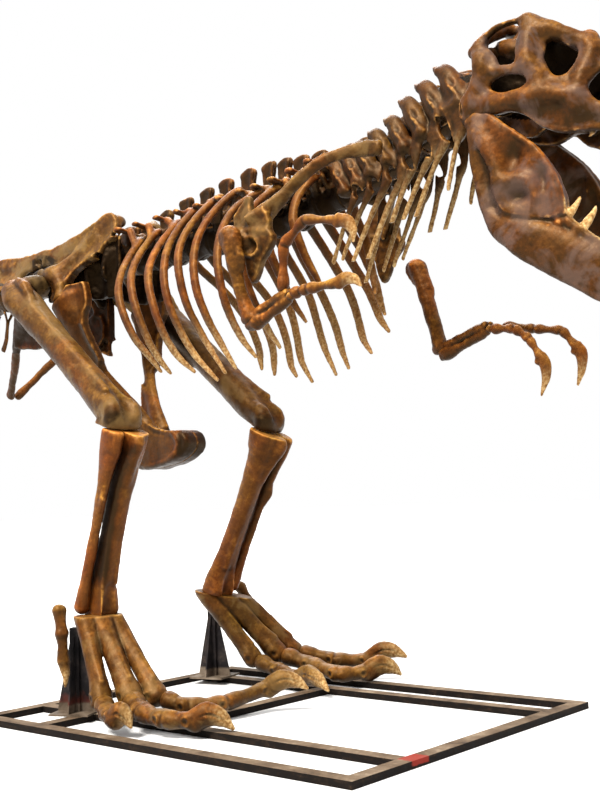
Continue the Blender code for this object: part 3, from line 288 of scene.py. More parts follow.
        dd = np.minimum(np.maximum(a, b), 0) + np.sqrt(np.maximum(a, 0) ** 2 + np.maximum(b, 0) ** 2) - r
        d = np.full(sh, BIG, F32)
        d[near] = dd
        self.blend(s, d, k, cut)

    def halfspace(self, p, n, k=0.0):
        """Cuts away everything on the side the normal points to."""
        p, n = vec(p), unit(n)
        d = ((self.ax[0][:, None, None] - F32(p[0])) * F32(n[0]) + (self.ax[1][None, :, None] - F32(p[1])) * F32(n[1])
             + (self.ax[2][None, None, :] - F32(p[2])) * F32(n[2]))
        self.d = np.maximum(self.d, d)

    def rough(self, amp, size, seed=0, stretch=(1, 1, 1), ridge=False):
        """Pushes the surface in and out by noise."""
        band = np.abs(self.d) < amp * 2 + 2 * self.h
        idx = np.nonzero(band)
        if len(idx[0]) == 0:
            return
        P = np.stack([self.ax[i][idx[i]] * stretch[i] for i in range(3)], 1)
        n = noise(P / size, seed)
        if ridge:
            n = 1 - 2 * np.abs(n)
        self.d[idx] += (amp * n).astype(F32)


_LAT = {}


def noise(P, seed=0):
    """Smooth value noise, about -1 to 1, at rows of P."""
    if seed not in _LAT:
        _LAT[seed] = np.random.default_rng(1000 + seed).uniform(-1, 1, (32, 32, 32)).astype(F32)
    L = _LAT[seed]
    f = np.floor(P)
    t = (P - f).astype(F32)
    i = f.astype(np.int64) % 32
    j = (i + 1) % 32
    t = t * t * (3 - 2 * t)
    x0, y0, z0 = i.T
    x1, y1, z1 = j.T
    tx, ty, tz = t.T
    c00 = L[x0, y0, z0] * (1 - tx) + L[x1, y0, z0] * tx
    c10 = L[x0, y1, z0] * (1 - tx) + L[x1, y1, z0] * tx
    c01 = L[x0, y0, z1] * (1 - tx) + L[x1, y0, z1] * tx
    c11 = L[x0, y1, z1] * (1 - tx) + L[x1, y1, z1] * tx
    c0 = c00 * (1 - ty) + c10 * ty
    c1 = c01 * (1 - ty) + c11 * ty
    return (c0 * (1 - tz) + c1 * tz) * 1.3


def boxblur(a, r, ax):
    """Running mean of 2r+1 along an axis."""
    a = np.moveaxis(a, ax, 0)
    p = np.concatenate([np.repeat(a[:1], r + 1, 0), a, np.repeat(a[-1:], r, 0)], 0)
    c = np.cumsum(p, 0, dtype=np.float64 if a.shape[0] > 4000 else F32)
    o = (c[2 * r + 1:] - c[:-(2 * r + 1)]) / (2 * r + 1)
    return np.moveaxis(o, 0, ax)


def sample(a, P):
    f = np.floor(P).astype(np.int64)
    for i in range(3):
        f[:, i] = np.clip(f[:, i], 0, a.shape[i] - 2)
    t = (P - f).astype(F32)
    x, y, z = f.T
    tx, ty, tz = t.T
    r = 0
    for dx in (0, 1):
        for dy in (0, 1):
            for dz in (0, 1):
                w = (tx if dx else 1 - tx) * (ty if dy else 1 - ty) * (tz if dz else 1 - tz)
                r = r + a[x + dx, y + dy, z + dz] * w
    return r


def mesh_of(F, name, shift, keep=0.01):
    """The field's surface as a mesh with two curvature layers: convex parts > 0.5."""
    for i in range(3):                         # border voxels stay outside, so every surface closes
        for j in (0, -1):
            F.d[tuple(j if k == i else slice(None) for k in range(3))] = BIG
    g = openvdb.FloatGrid(BIG)
    g.copyFromArray(np.ascontiguousarray(F.d))
    pts, tris, quads = g.convertToPolygons(isovalue=0.0, adaptivity=0.0)
    pts = np.asarray(pts, float)
    quads = np.asarray(quads, np.int64)
    tris = np.asarray(tris, np.int64).reshape(-1, 3)
    # loose crumbs are dropped
    n = len(pts)
    lab = np.arange(n)
    E = np.concatenate([quads[:, [0, 1]], quads[:, [1, 2]], quads[:, [2, 3]]] + ([tris[:, [0, 1]], tris[:, [1, 2]]] if len(tris) else []))
    while True:
        m = np.minimum(lab[E[:, 0]], lab[E[:, 1]])
        new = lab.copy()
        np.minimum.at(new, E[:, 0], m)
        np.minimum.at(new, E[:, 1], m)
        new = new[new]
        new = new[new]
        if (new == lab).all():
            break
        lab = new
    cnt = np.bincount(lab, minlength=n)
    ok = cnt[lab] > keep * n
    remap = -np.ones(n, np.int64)
    remap[ok] = np.arange(ok.sum())
    pts = pts[ok]
    quads = remap[quads[ok[quads[:, 0]]]] if len(quads) else quads
    tris = remap[tris[ok[tris[:, 0]]]] if len(tris) else tris
    co = pts * F.h + F.lo + shift
    me = bpy.data.meshes.new(name)
    me.vertices.add(len(co))
    me.vertices.foreach_set("co", co.astype(F32).ravel())
    faces = np.concatenate([quads.ravel(), tris.ravel()])
    me.loops.add(len(faces))
    me.loops.foreach_set("vertex_index", faces.astype(np.int32))
    nq, nt = len(quads), len(tris)
    starts = np.concatenate([np.arange(nq) * 4, nq * 4 + np.arange(nt) * 3]).astype(np.int32)
    me.polygons.add(nq + nt)
    me.polygons.foreach_set("loop_start", starts)
    me.polygons.foreach_set("loop_total", np.concatenate([np.full(nq, 4), np.full(nt, 3)]).astype(np.int32))
    me.update(calc_edges=True)
    me.validate()
    # two curvature layers: sharp edges against their surroundings, and the broad form; 0.5 is flat
    m = len(co)
    nr = np.empty(m * 3, F32)
    me.vertices.foreach_get("normal", nr)
    nr = nr.reshape(-1, 3).astype(float)
    ed = np.empty(len(me.edges) * 2, np.int32)
    me.edges.foreach_get("vertices", ed)
    ei, ej = ed[0::2], ed[1::2]
    deg = np.maximum(1, np.bincount(ei, minlength=m) + np.bincount(ej, minlength=m))
    dv = co[ej] - co[ei]
    cv = (np.bincount(ei, -(dv * nr[ei]).sum(1), m) + np.bincount(ej, (dv * nr[ej]).sum(1), m)) / deg / F.h ** 2

    def spread(v, n):
        for _ in range(n):
            v = 0.4 * v + 0.6 * (np.bincount(ei, v[ej], m) + np.bincount(ej, v[ei], m)) / deg
        return v
    fine_ = spread(cv, 3)
    wide = spread(fine_, 26)
    inner = -nr[:, 1] * np.sign(co[:, 1] - shift[1])
    for nm, v in (("inner", inner), ("edge", 0.5 + (fine_ - wide) * 0.022), ("form", 0.5 + wide * 0.022)):
        a = me.attributes.new(nm, "FLOAT", "POINT")
        a.data.foreach_set("value", np.clip(v, 0, 1).astype(F32))
    me.shade_smooth()
    ob = bpy.data.objects.new(name, me)
    bpy.context.scene.collection.objects.link(ob)
    return ob


# ------------------------------------------------------------------ the fixed frame
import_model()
_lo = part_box("rail_outer_right")[0]
SHIFT = np.array([_lo[0] + 0.305, _lo[1] + 1.232, _lo[2]])
NM = {-1: "right", 1: "left"}


# ------------------------------------------------------------------ backbone line (as in the CAD)
TAIL_TIP_X = -6.60
LINE = [(TAIL_TIP_X, 2.62), (-5.6, 2.66), (-4.6, 2.74), (-3.6, 2.84), (-2.6, 2.95), (-1.6, 3.03),
        (-0.8, 3.06), (0.0, 3.07), (0.8, 3.09), (1.5, 3.12), (1.95, 3.20), (2.25, 3.31),
        (2.50, 3.41), (2.68, 3.50), (2.80, 3.57)]
CREST = [(0.0, 3.31), (0.26, 3.35), (0.47, 3.39), (0.67, 3.43), (0.86, 3.46), (1.07, 3.49), (1.30, 3.50),
         (1.72, 3.49), (2.10, 3.50), (2.30, 3.53), (2.46, 3.60), (2.62, 3.72), (2.85, 3.80)]


def lin(tab, x):
    if x <= tab[0][0]:
        return tab[0][1]
    for a, b in zip(tab, tab[1:]):
        if x <= b[0]:
            return a[1] + (b[1] - a[1]) * (x - a[0]) / (b[0] - a[0])
    return tab[-1][1]


def line_z(x):
    return 0.25 * lin(LINE, x - 0.12) + 0.5 * lin(LINE, x) + 0.25 * lin(LINE, x + 0.12)


def slope(x):
    return math.atan2(line_z(x + 0.08) - line_z(x - 0.08), 0.16)


def body_radius(x):
    if x < -1.3:
        t = (x - TAIL_TIP_X) / (-1.3 - TAIL_TIP_X)
        return 0.016 + 0.104 * t ** 0.85
    return 0.105 if x < 1.9 else 0.105 - 0.025 * (x - 1.9)


RNG = np.random.default_rng(7)


def field_of(node, h, grow=0.03):
    a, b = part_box(node)
    return Field(np.array(a) - SHIFT - grow, np.array(b) - SHIFT + grow, h)


def spool(F, x0, x1, r, waist=0.76):
    """One vertebral body with flared ends."""
    a, b = vec((x0, 0, line_z(x0))), vec((x1, 0, line_z(x1)))
    d = b - a
    L = np.linalg.norm(d)
    u = d / L
    e = min(0.012, L * 0.08)
    F.cone(a + u * e, a + u * L * 0.5, r, r * waist, k=0.006)
    F.cone(a + u * L * 0.5, b - u * e, r * waist, r, k=0.02)


def seam(F, x, r):
    """The joint line between two bodies."""
    a = slope(x)
    t = vec((math.cos(a), 0, math.sin(a)))
    c = vec((x, 0, line_z(x)))
    n = 14
    up = vec((-t[2], 0, t[0]))
    ring = [c + (vec((0, 1, 0)) * math.cos(2 * math.pi * i / n) + up * math.sin(2 * math.pi * i / n)) * r * 1.04
            for i in range(n + 1)]
    for p, q in zip(ring, ring[1:]):
        F.cone(p, q, 0.0085, 0.0085, k=0.008, cut=True)


def tail_node(k):
    xs, x, p = [-1.28], -1.28, 0.175
    while x - p > TAIL_TIP_X + 0.02 and len(xs) < 34:
        x -= p
        xs.append(x)
        p = 0.175 - 0.030 * (len(xs) / 34) if len(xs) < 30 else 0.14
    xs[-1] = TAIL_TIP_X
    xs = xs[::-1]
    n = len(xs) - 1
    cuts = [0, n - 26, n - 19, n - 13, n - 7, n] if n > 27 else [0, 5, 11, 17, 22, n]
    i = 5 - k
    seg = xs[cuts[i]:cuts[i + 1] + 1]
    F = field_of("tail_%d" % k, 0.0085)
    for a, b in zip(seg, seg[1:]):
        m = (a + b) / 2
        L = b - a
        f = max(0.0, (m - TAIL_TIP_X) / (-1.28 - TAIL_TIP_X))
        r = body_radius(m)
        z = line_z(m)
        spool(F, a, b, r)
        j = RNG.uniform(-1, 1, 6)
        if f > 0.12:
            tall = min(r + 0.05 + 0.24 * f, 3.27 - z)
            top = z + tall * (1 + 0.03 * j[0])
            w = 0.016 + 0.010 * f
            F.cone((m, 0, z + r * 0.7), (m - 0.01, 0, z + r + 0.05), (w * 1.8, L * 0.34), (w * 0.9, L * 0.30), up=(1, 0, 0), k=0.02)
            F.plate([(m - L * 0.30, z + r * 0.8), (m + L * 0.24, z + r * 0.8), (m + L * 0.20, z + r + tall * 0.3),
                     (m + L * 0.24, top - 0.012), (m + L * 0.10, top + 0.004), (m - L * 0.34, top - 0.006), (m - L * 0.36, top - 0.03),
                     (m - L * 0.24, z + r + tall * 0.3)], w * 0.62, k=0.015, r=0.008)
            F.cone((m + L * 0.20, 0, top - 0.014), (m - L * 0.30, 0, top - 0.010), w * 0.95, w * 0.9, k=0.015)
            for s in (-1, 1):
                # joint processes reaching over the next body
                F.rod([(m, s * w, z + r * 1.05), (m + L * 0.35, s * (w + 0.02), z + r * 1.25), (m + L * 0.62, s * (w + 0.022), z + r * 1.40)],
                      [0.018 + 0.008 * f, 0.014 + 0.006 * f, 0.010], k=0.015, n=1)
                F.cone((m - L * 0.1, s * 0.012, z + r * 1.15), (m - L * 0.48, s * 0.018, z + r * 1.28), 0.016 + 0.006 * f, 0.010, k=0.012)
            ch = 0.10 + 0.22 * f
            for s in (-1, 1):
                F.cone((a + 0.01, s * r * 0.42, z - r * 0.80), (a - 0.012, 0, z - r - 0.05 - 0.05 * f), 0.012, 0.010, k=0.01)
            F.rod([(a - 0.012, 0, z - r - 0.04 - 0.04 * f), (a - 0.035, 0, z - r - 0.05 - ch * 0.55), (a - 0.08, 0, z - r - ch)],
                  [(0.009, 0.015), (0.008, 0.024), (0.009, 0.030)], up=(1, 0, 0), k=0.01, n=2)
        if f > 0.45:
            ln = max(0.04, 0.05 + 0.20 * (f - 0.4))
            if m > -1.56:
                ln = 0.06
            for s in (-1, 1):
                F.rod([(m, s * r * 0.5, z + 0.01), (m - 0.02, s * (r + ln * 0.6), z + 0.03), (m - 0.045, s * (r + ln), z + 0.025 + 0.01 * j[2])],
                      [(0.036, 0.018), (0.026, 0.012), (0.032, 0.010)], k=0.02, n=2)
    for x in seg:
        seam(F, x, body_radius(x))
    F.rough(0.0022, 0.035, 3)
    F.rough(0.0035, 0.11, 4)
    lo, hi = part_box("tail_%d" % k)
    F.halfspace((hi[0] - SHIFT[0], 0, 0), (1, 0, 0))
    F.halfspace((lo[0] - SHIFT[0], 0, 0), (-1, 0, 0))
    return F


# ------------------------------------------------------------------ sacrum and hips
def sacrum():
    a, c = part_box("sacrum")
    F = Field(np.array([a[0] - SHIFT[0] - 0.03, -0.40, 2.70]), np.array([c[0] - SHIFT[0] + 0.03, 0.40, 3.36]), 0.010)
    xs = [-1.28 + 0.213 * i for i in range(7)]
    for a, b in zip(xs, xs[1:]):
        spool(F, a, b, 0.10, 0.82)
    F.plate([(-1.28, 3.05), (0.0, 3.08), (0.0, 3.32), (-0.10, 3.33), (-0.25, 3.28), (-0.5, 3.255), (-0.8, 3.235), (-1.28, 3.235)],
            0.028, k=0.02, r=0.012)
    for i, x in enumerate((-1.17, -0.95, -0.73, -0.51, -0.29, -0.10)):
        F.cone((x, 0, 3.14), (x - 0.02, 0, 3.235 + 0.012 * i), (0.045, 0.05), (0.040, 0.055), up=(1, 0, 0), k=0.03)
        for s in (-1, 1):
            F.rod([(x, 0.03 * s, 3.10), (x + 0.01, s * 0.10, 3.10), (x, s * 0.19, 3.08)], [(0.050, 0.05), (0.035, 0.06), (0.055, 0.09)], k=0.03, n=1)
            # broad sheet of bone out to the hip blade
            low = 2.84 if -0.8 < x < -0.2 else 2.93
            F.plate([(0.06, 3.02), (0.16, low + 0.06), (0.255, low), (0.275, 3.00), (0.235, 3.16), (0.17, 3.22), (0.06, 3.18)],
                    0.020, (x - 0.01, 0, 0), (0, s, 0), (0, 0, 1), k=0.03, r=0.012, smooth=2)
    for s in (-1, 1):
        # walls of fused ribs at the front of the hips
        F.plate([(-0.50, 3.08), (-0.30, 3.17), (-0.06, 3.22), (0.02, 3.20), (0.02, 2.86), (-0.10, 2.80), (-0.34, 2.82), (-0.48, 2.90)], 0.016, (0, s * 0.20, 0), k=0.05, r=0.012, smooth=2,
                bend=lambda u, v: 0.014 * np.sin(u * 40))
    F.rough(0.004, 0.05, 5)
    F.rough(0.003, 0.018, 6)
    F.halfspace((-1.28, 0, 0), (-1, 0, 0))
    F.halfspace((0.0, 0, 0), (1, 0, 0))
    return F


def out_y(z):
    return 0.150 + (3.36 - z) * 0.42


def ilium(s):
    F = field_of("ilium_" + NM[s], 0.009, 0.05)
    lean = 0.42
    k = math.sqrt(1 + lean * lean)
    top = [(-1.46, 3.10), (-1.46, 3.20), (-1.42, 3.245), (-1.18, 3.235), (-0.92, 3.228), (-0.68, 3.245), (-0.46, 3.275), (-0.31, 3.315), (-0.22, 3.35),
           (-0.13, 3.38), (-0.07, 3.38), (-0.01, 3.33), (0.00, 3.28), (-0.01, 3.22), (-0.04, 3.19), (-0.10, 3.155), (-0.12, 3.11), (-0.16, 3.08), (-0.22, 3.06),
           (-0.27, 3.03), (-0.34, 3.01), (-0.40, 2.97), (-0.44, 2.91), (-0.45, 2.82), (-0.50, 2.79), (-0.55, 2.84), (-0.58, 2.92), (-0.68, 2.97), (-0.80, 2.95),
           (-0.88, 2.84), (-0.96, 2.80), (-1.02, 2.86), (-1.08, 2.96), (-1.20, 3.03), (-1.32, 3.06)]
    ay = unit((0, -s * lean, 1))
    thick = lambda u, v, e: 0.020 + 0.014 * np.exp(-(e / 0.05) ** 2) + 0.010 * np.clip((0.0 - v) / 0.3, 0, 1)
    bend = lambda u, v: s * (0.022 * np.sin(u * 9.0 + 0.6) * np.clip(1 - np.abs(v - 0.02) / 0.25, 0, 1) - 0.05 * np.clip((v - 0.12) / 0.3, 0, 1) ** 1.5)
    F.plate([(x, (z - 3.0) * k) for x, z in top], thick, (0, s * out_y(3.0), 3.0), (1, 0, 0), ay, k=0.02, r=0.014, bend=bend, smooth=2)
    yy = lambda z, d: s * (out_y(z) + d)
    # the crest is thickened, the bony hood hangs over the socket and a broad strut joins the two
    F.rod([(-1.40, yy(3.21, -0.01), 3.20), (-1.15, yy(3.21, -0.01), 3.195), (-0.85, yy(3.20, -0.01), 3.185), (-0.50, yy(3.24, -0.01), 3.225),
           (-0.22, yy(3.31, -0.01), 3.30), (-0.06, yy(3.35, -0.01), 3.345)],
          [(0.050, 0.030), (0.045, 0.030), (0.042, 0.030), (0.045, 0.030), (0.050, 0.032), (0.042, 0.032)], k=0.05, n=3)
    F.rod([(-0.43, yy(2.84, 0.01), 2.83), (-0.50, yy(2.95, 0.03), 2.95), (-0.60, yy(3.02, 0.045), 3.02), (-0.74, yy(3.04, 0.05), 3.035),
           (-0.88, yy(2.98, 0.04), 2.985), (-0.95, yy(2.88, 0.02), 2.89)],
          [(0.050, 0.045), (0.050, 0.045), (0.050, 0.045), (0.050, 0.040), (0.050, 0.040), (0.050, 0.045)], up=(0, 1, 0), k=0.05, n=3)
    F.rod([(-0.55, yy(3.02, 0.03), 3.02), (-0.40, yy(3.14, 0.01), 3.13), (-0.25, yy(3.24, 0.0), 3.24)], [0.070, 0.050, 0.045], k=0.06, n=3)
    # ragged hollow behind the strut
    for c, r in (((-0.97, 3.105), (0.11, 0.11, 0.042)), ((-0.80, 3.130), (0.13, 0.10, 0.052)), ((-0.66, 3.105), (0.05, 0.09, 0.035)), ((-0.86, 3.185), (0.045, 0.08, 0.030)),
                 ((-0.88, 3.03), (0.09, 0.10, 0.035))):
        F.ball((c[0], yy(c[1], 0.085), c[1]), r, k=0.015, cut=True, X=(1, 0, 0.22), Z=(0, -s * lean, 1))
    # ragged front edge
    for c, r in (((-0.06, 3.17), 0.024), ((-0.15, 3.10), 0.026), ((-0.20, 3.04), 0.020), ((-0.30, 3.00), 0.022), ((-0.03, 3.24), 0.016), ((-0.38, 2.955), 0.018)):
        F.ball((c[0], yy(c[1], 0.0), c[1]), (r, 0.08, r * 0.8), k=0.012, cut=True)
    F.rough(0.0055, 0.12, 11 + s)
    F.rough(0.0030, 0.045, 13 + s)
    F.rough(0.0012, 0.018, 15)
    F.halfspace((-1.0, s * 0.10, 3.0), (0, -s, 0))
    return F


def pubis(s):
    F = field_of("pubis_" + NM[s], 0.009, 0.05)
    F.rod([(-0.42, s * 0.37, 2.80), (-0.37, s * 0.355, 2.66), (-0.31, s * 0.31, 2.48), (-0.22, s * 0.235, 2.30), (-0.10, s * 0.150, 2.12),
           (0.01, s * 0.085, 1.97), (0.08, s * 0.050, 1.84)],
          [(0.060, 0.135), (0.050, 0.105), (0.036, 0.060), (0.033, 0.050), (0.034, 0.050), (0.036, 0.062), (0.042, 0.095)],
          up=(1, 0, 0.35), k=0.02, n=4)
    # broad blade at the head of the shaft
    F.plate([(-0.47, 2.81), (-0.40, 2.90), (-0.30, 2.955), (-0.20, 2.93), (-0.16, 2.84), (-0.155, 2.74), (-0.19, 2.69), (-0.20, 2.60), (-0.18, 2.48), (-0.14, 2.36), (-0.22, 2.30), (-0.34, 2.46), (-0.45, 2.64)],
            lambda u, v, e: 0.018 + 0.014 * np.exp(-(e / 0.03) ** 2), (0, s * 0.360, 0), k=0.04, r=0.014, smooth=2,
            bend=lambda u, v: s * 0.115 * np.clip((2.62 - v) / 0.32, 0, 1))
    # the flat apron that joins the two shafts
    F.plate([(-0.22, 2.22), (-0.10, 2.12), (0.06, 1.94), (0.14, 1.84), (0.00, 1.66), (-0.14, 1.72), (-0.16, 1.98)], 0.016, (0, s * 0.045, 0), k=0.03, r=0.008,
            bend=lambda u, v: -np.clip((v - 1.80) / 0.44, 0, 1) * 0.13 * s)
    # the boot
    boot = [(-0.04, 1.79), (0.01, 1.88), (0.07, 1.905), (0.13, 1.865), (0.20, 1.828), (0.29, 1.822), (0.40, 1.838), (0.48, 1.815),
            (0.515, 1.745), (0.48, 1.680), (0.37, 1.622), (0.22, 1.592), (0.10, 1.575), (-0.01, 1.585), (-0.10, 1.62), (-0.18, 1.675),
            (-0.17, 1.72), (-0.09, 1.745)]
    F.plate(boot, 0.074, (0, s * 0.030, 0), k=0.03, r=0.032, smooth=2)
    # broad smooth flank from the shaft down to the boot, with a crescent rim in front
    if s < 0:
        F.plate([(-0.36, 2.30), (-0.25, 2.18), (-0.08, 2.05), (0.06, 1.935), (0.20, 1.865), (0.33, 1.835), (0.40, 1.80), (0.425, 1.735), (0.39, 1.665), (0.26, 1.615), (0.12, 1.595), (-0.06, 1.65), (-0.25, 1.84), (-0.37, 2.06), (-0.42, 2.22)],
                lambda u, v, e: 0.014 + 0.010 * np.exp(-(e / 0.02) ** 2), (0, s * 0.082, 0), k=0.03, r=0.012, smooth=2,
                bend=lambda u, v: -s * (0.115 * np.clip((v - 1.95) / 0.38, 0, 1)))
    F.rod([(0.375, s * 0.100, 1.825), (0.430, s * 0.104, 1.770), (0.430, s * 0.104, 1.705), (0.385, s * 0.102, 1.655), (0.26, s * 0.098, 1.615), (0.10, s * 0.092, 1.600)],
          [0.008, 0.013, 0.015, 0.013, 0.011, 0.008], k=0.025, n=4)
    F.rough(0.0035, 0.12, 21)
    F.rough(0.0012, 0.03, 22)
    F.halfspace((0, 0, 0), (0, -s, 0))
    return F


def ischium(s):
    F = field_of("ischium_" + NM[s], 0.009, 0.05)
    F.rod([(-0.90, s * 0.35, 2.84), (-1.02, s * 0.31, 2.74), (-1.16, s * 0.25, 2.62), (-1.34, s * 0.15, 2.44), (-1.47, s * 0.085, 2.32), (-1.57, s * 0.035, 2.23)],
          [(0.055, 0.125), (0.040, 0.085), (0.030, 0.048), (0.026, 0.034), (0.024, 0.032), (0.030, 0.038)], up=(1, 0, -0.5), k=0.02, n=4)
    # the thin flange towards the middle
    F.plate([(-0.80, 2.80), (-0.74, 2.62), (-0.86, 2.52), (-1.02, 2.53), (-1.18, 2.56), (-1.10, 2.70), (-0.95, 2.80)],
            lambda u, v, e: 0.010 + 0.012 * np.exp(-(e / 0.03) ** 2), (0, s * 0.29, 0), k=0.03, r=0.008, smooth=2,
            bend=lambda u, v: -s * np.clip((2.78 - v) / 0.25, 0, 1) * -0.05)
    # dark wall of bone around the socket, between the blade and the two lower bones
    F.plate([(-0.90, 2.90), (-0.86, 2.98), (-0.70, 3.00), (-0.53, 2.94), (-0.42, 2.86), (-0.40, 2.70), (-0.43, 2.48), (-0.52, 2.46), (-0.66, 2.56), (-0.82, 2.68)],
            lambda u, v, e: 0.016 + 0.008 * np.exp(-(e / 0.03) ** 2), (0, s * 0.315, 0), k=0.03, r=0.010, smooth=2,
            bend=lambda u, v: s * 0.02 * np.sin(u * 11))
    F.rod([(-0.60, s * 0.36, 2.90), (-0.50, s * 0.355, 2.78), (-0.46, s * 0.345, 2.62)], [(0.030, 0.05), (0.028, 0.045), (0.02, 0.03)], up=(1, 0, 0), k=0.04, n=2)
    if s > 0:
        F.plate([(-0.98, 3.00), (-0.60, 3.00), (-0.52, 2.88), (-0.51, 2.66), (-0.59, 2.56), (-0.60, 2.49), (-0.72, 2.475), (-0.86, 2.53), (-1.00, 2.62), (-0.96, 2.72), (-0.88, 2.83), (-0.93, 2.90)],
                lambda u, v, e: 0.016 + 0.014 * np.exp(-(e / 0.03) ** 2), (0, 0.30, 0), k=0.04, r=0.014, smooth=2)
    F.rough(0.004, 0.07, 23)
    F.rough(0.002, 0.03, 24)
    F.halfspace((0, 0, 0), (0, -s, 0))
    return F


# ------------------------------------------------------------------ hind legs
LEG = {-1: dict(hip=(-0.70, -0.570, 2.87), knee=(0.570, -0.675, 1.85), fib=(0.54, -0.750, 1.78),
                ankle=(0.235, -0.665, 0.700), fibend=(0.180, -0.745, 0.720)),
       1: dict(hip=(-0.60, 0.570, 2.93), knee=(0.600, 0.675, 1.85), fib=(0.60, 0.755, 1.76),
               ankle=(0.030, 0.630, 0.715), fibend=(0.085, 0.735, 0.735))}


def mix(a, b, t):
    return vec(a) + (vec(b) - vec(a)) * t


def femur(s):
    L = LEG[s]
    F = field_of("femur_" + NM[s], 0.009, 0.05)
    hip, knee = vec(L["hip"]), vec(L["knee"])
    d = unit(knee - hip)
    fr = unit(np.cross((0, 1, 0), d))          # front of the thigh: forward and up
    if fr[0] < 0:
        fr = -fr
    lat = unit(np.cross(fr, d))
    if lat[1] * s < 0:
        lat = -lat
    P = lambda t, a=0.0, b=0.0: mix(hip, knee, t) + fr * a + lat * b
    F.rod([P(-0.03), P(0.04), P(0.12), P(0.25), P(0.42), P(0.60), P(0.76), P(0.88), P(0.965)],
          [(0.085, 0.080), (0.120, 0.104), (0.124, 0.112), (0.112, 0.108), (0.100, 0.102), (0.098, 0.104), (0.106, 0.110), (0.116, 0.110), (0.108, 0.096)],
          up=fr, k=0.02, n=5)
    # head and neck towards the socket
    F.rod([P(0.02), ((hip[0] - 0.68) / 2, s * 0.48, 2.935), (-0.68, s * 0.425, 2.945)], [(0.085, 0.09), (0.066, 0.072), (0.072, 0.072)], k=0.04, n=3)
    F.ball((-0.68, s * 0.40, 2.935), 0.085, k=0.03)
    # trochanters
    F.rod([P(-0.01, -0.01, 0.04), P(0.06, -0.02, 0.080), P(0.14, -0.02, 0.070)], [0.055, 0.060, 0.04], k=0.04, n=2)
    F.rod([P(0.00, 0.10, 0.03), P(0.07, 0.125, 0.045), P(0.15, 0.10, 0.05)], [0.030, 0.040, 0.022], k=0.025, n=2)
    F.rod([P(0.30, -0.09, -0.05), P(0.38, -0.11, -0.06), P(0.45, -0.09, -0.05)], [0.02, 0.035, 0.02], k=0.04, n=2)
    # long muscle ridges
    F.rod([P(0.16, 0.08, 0.06), P(0.40, 0.083, 0.055), P(0.68, 0.092, 0.05), P(0.86, 0.11, 0.075)], [0.010, 0.009, 0.009, 0.016], k=0.06, n=3)
    # knee knuckles behind and the groove in front
    for q, rr in ((0.062, 0.068), (-0.062, 0.072)):
        F.rod([P(0.86, 0.03, q * 0.9), P(0.945, 0.045, q), P(0.975, -0.03, q), P(0.93, -0.10, q * 0.95)], [0.050, rr, rr, 0.058], k=0.025, n=3)
    F.rod([P(0.80, 0.135, -0.002), P(0.90, 0.130, -0.005), P(1.02, 0.100, 0)], [0.030, 0.046, 0.060], k=0.03, cut=True, n=2)
    F.rod([P(0.98, -0.02, 0), P(1.0, -0.16, 0)], [0.05, 0.06], k=0.02, cut=True, n=2)
    F.ball(P(0.925, 0.02, 0.20), (0.055, 0.03, 0.055), k=0.03, cut=True, X=d, Z=fr)
    F.rough(0.0035, 0.16, 31 + s)
    F.rough(0.0018, 0.05, 33)
    F.rough(0.0010, 0.018, 34)
    sd = unit(vec(L["ankle"]) - knee)
    F.halfspace(knee + sd * 0.030, sd)
    return F


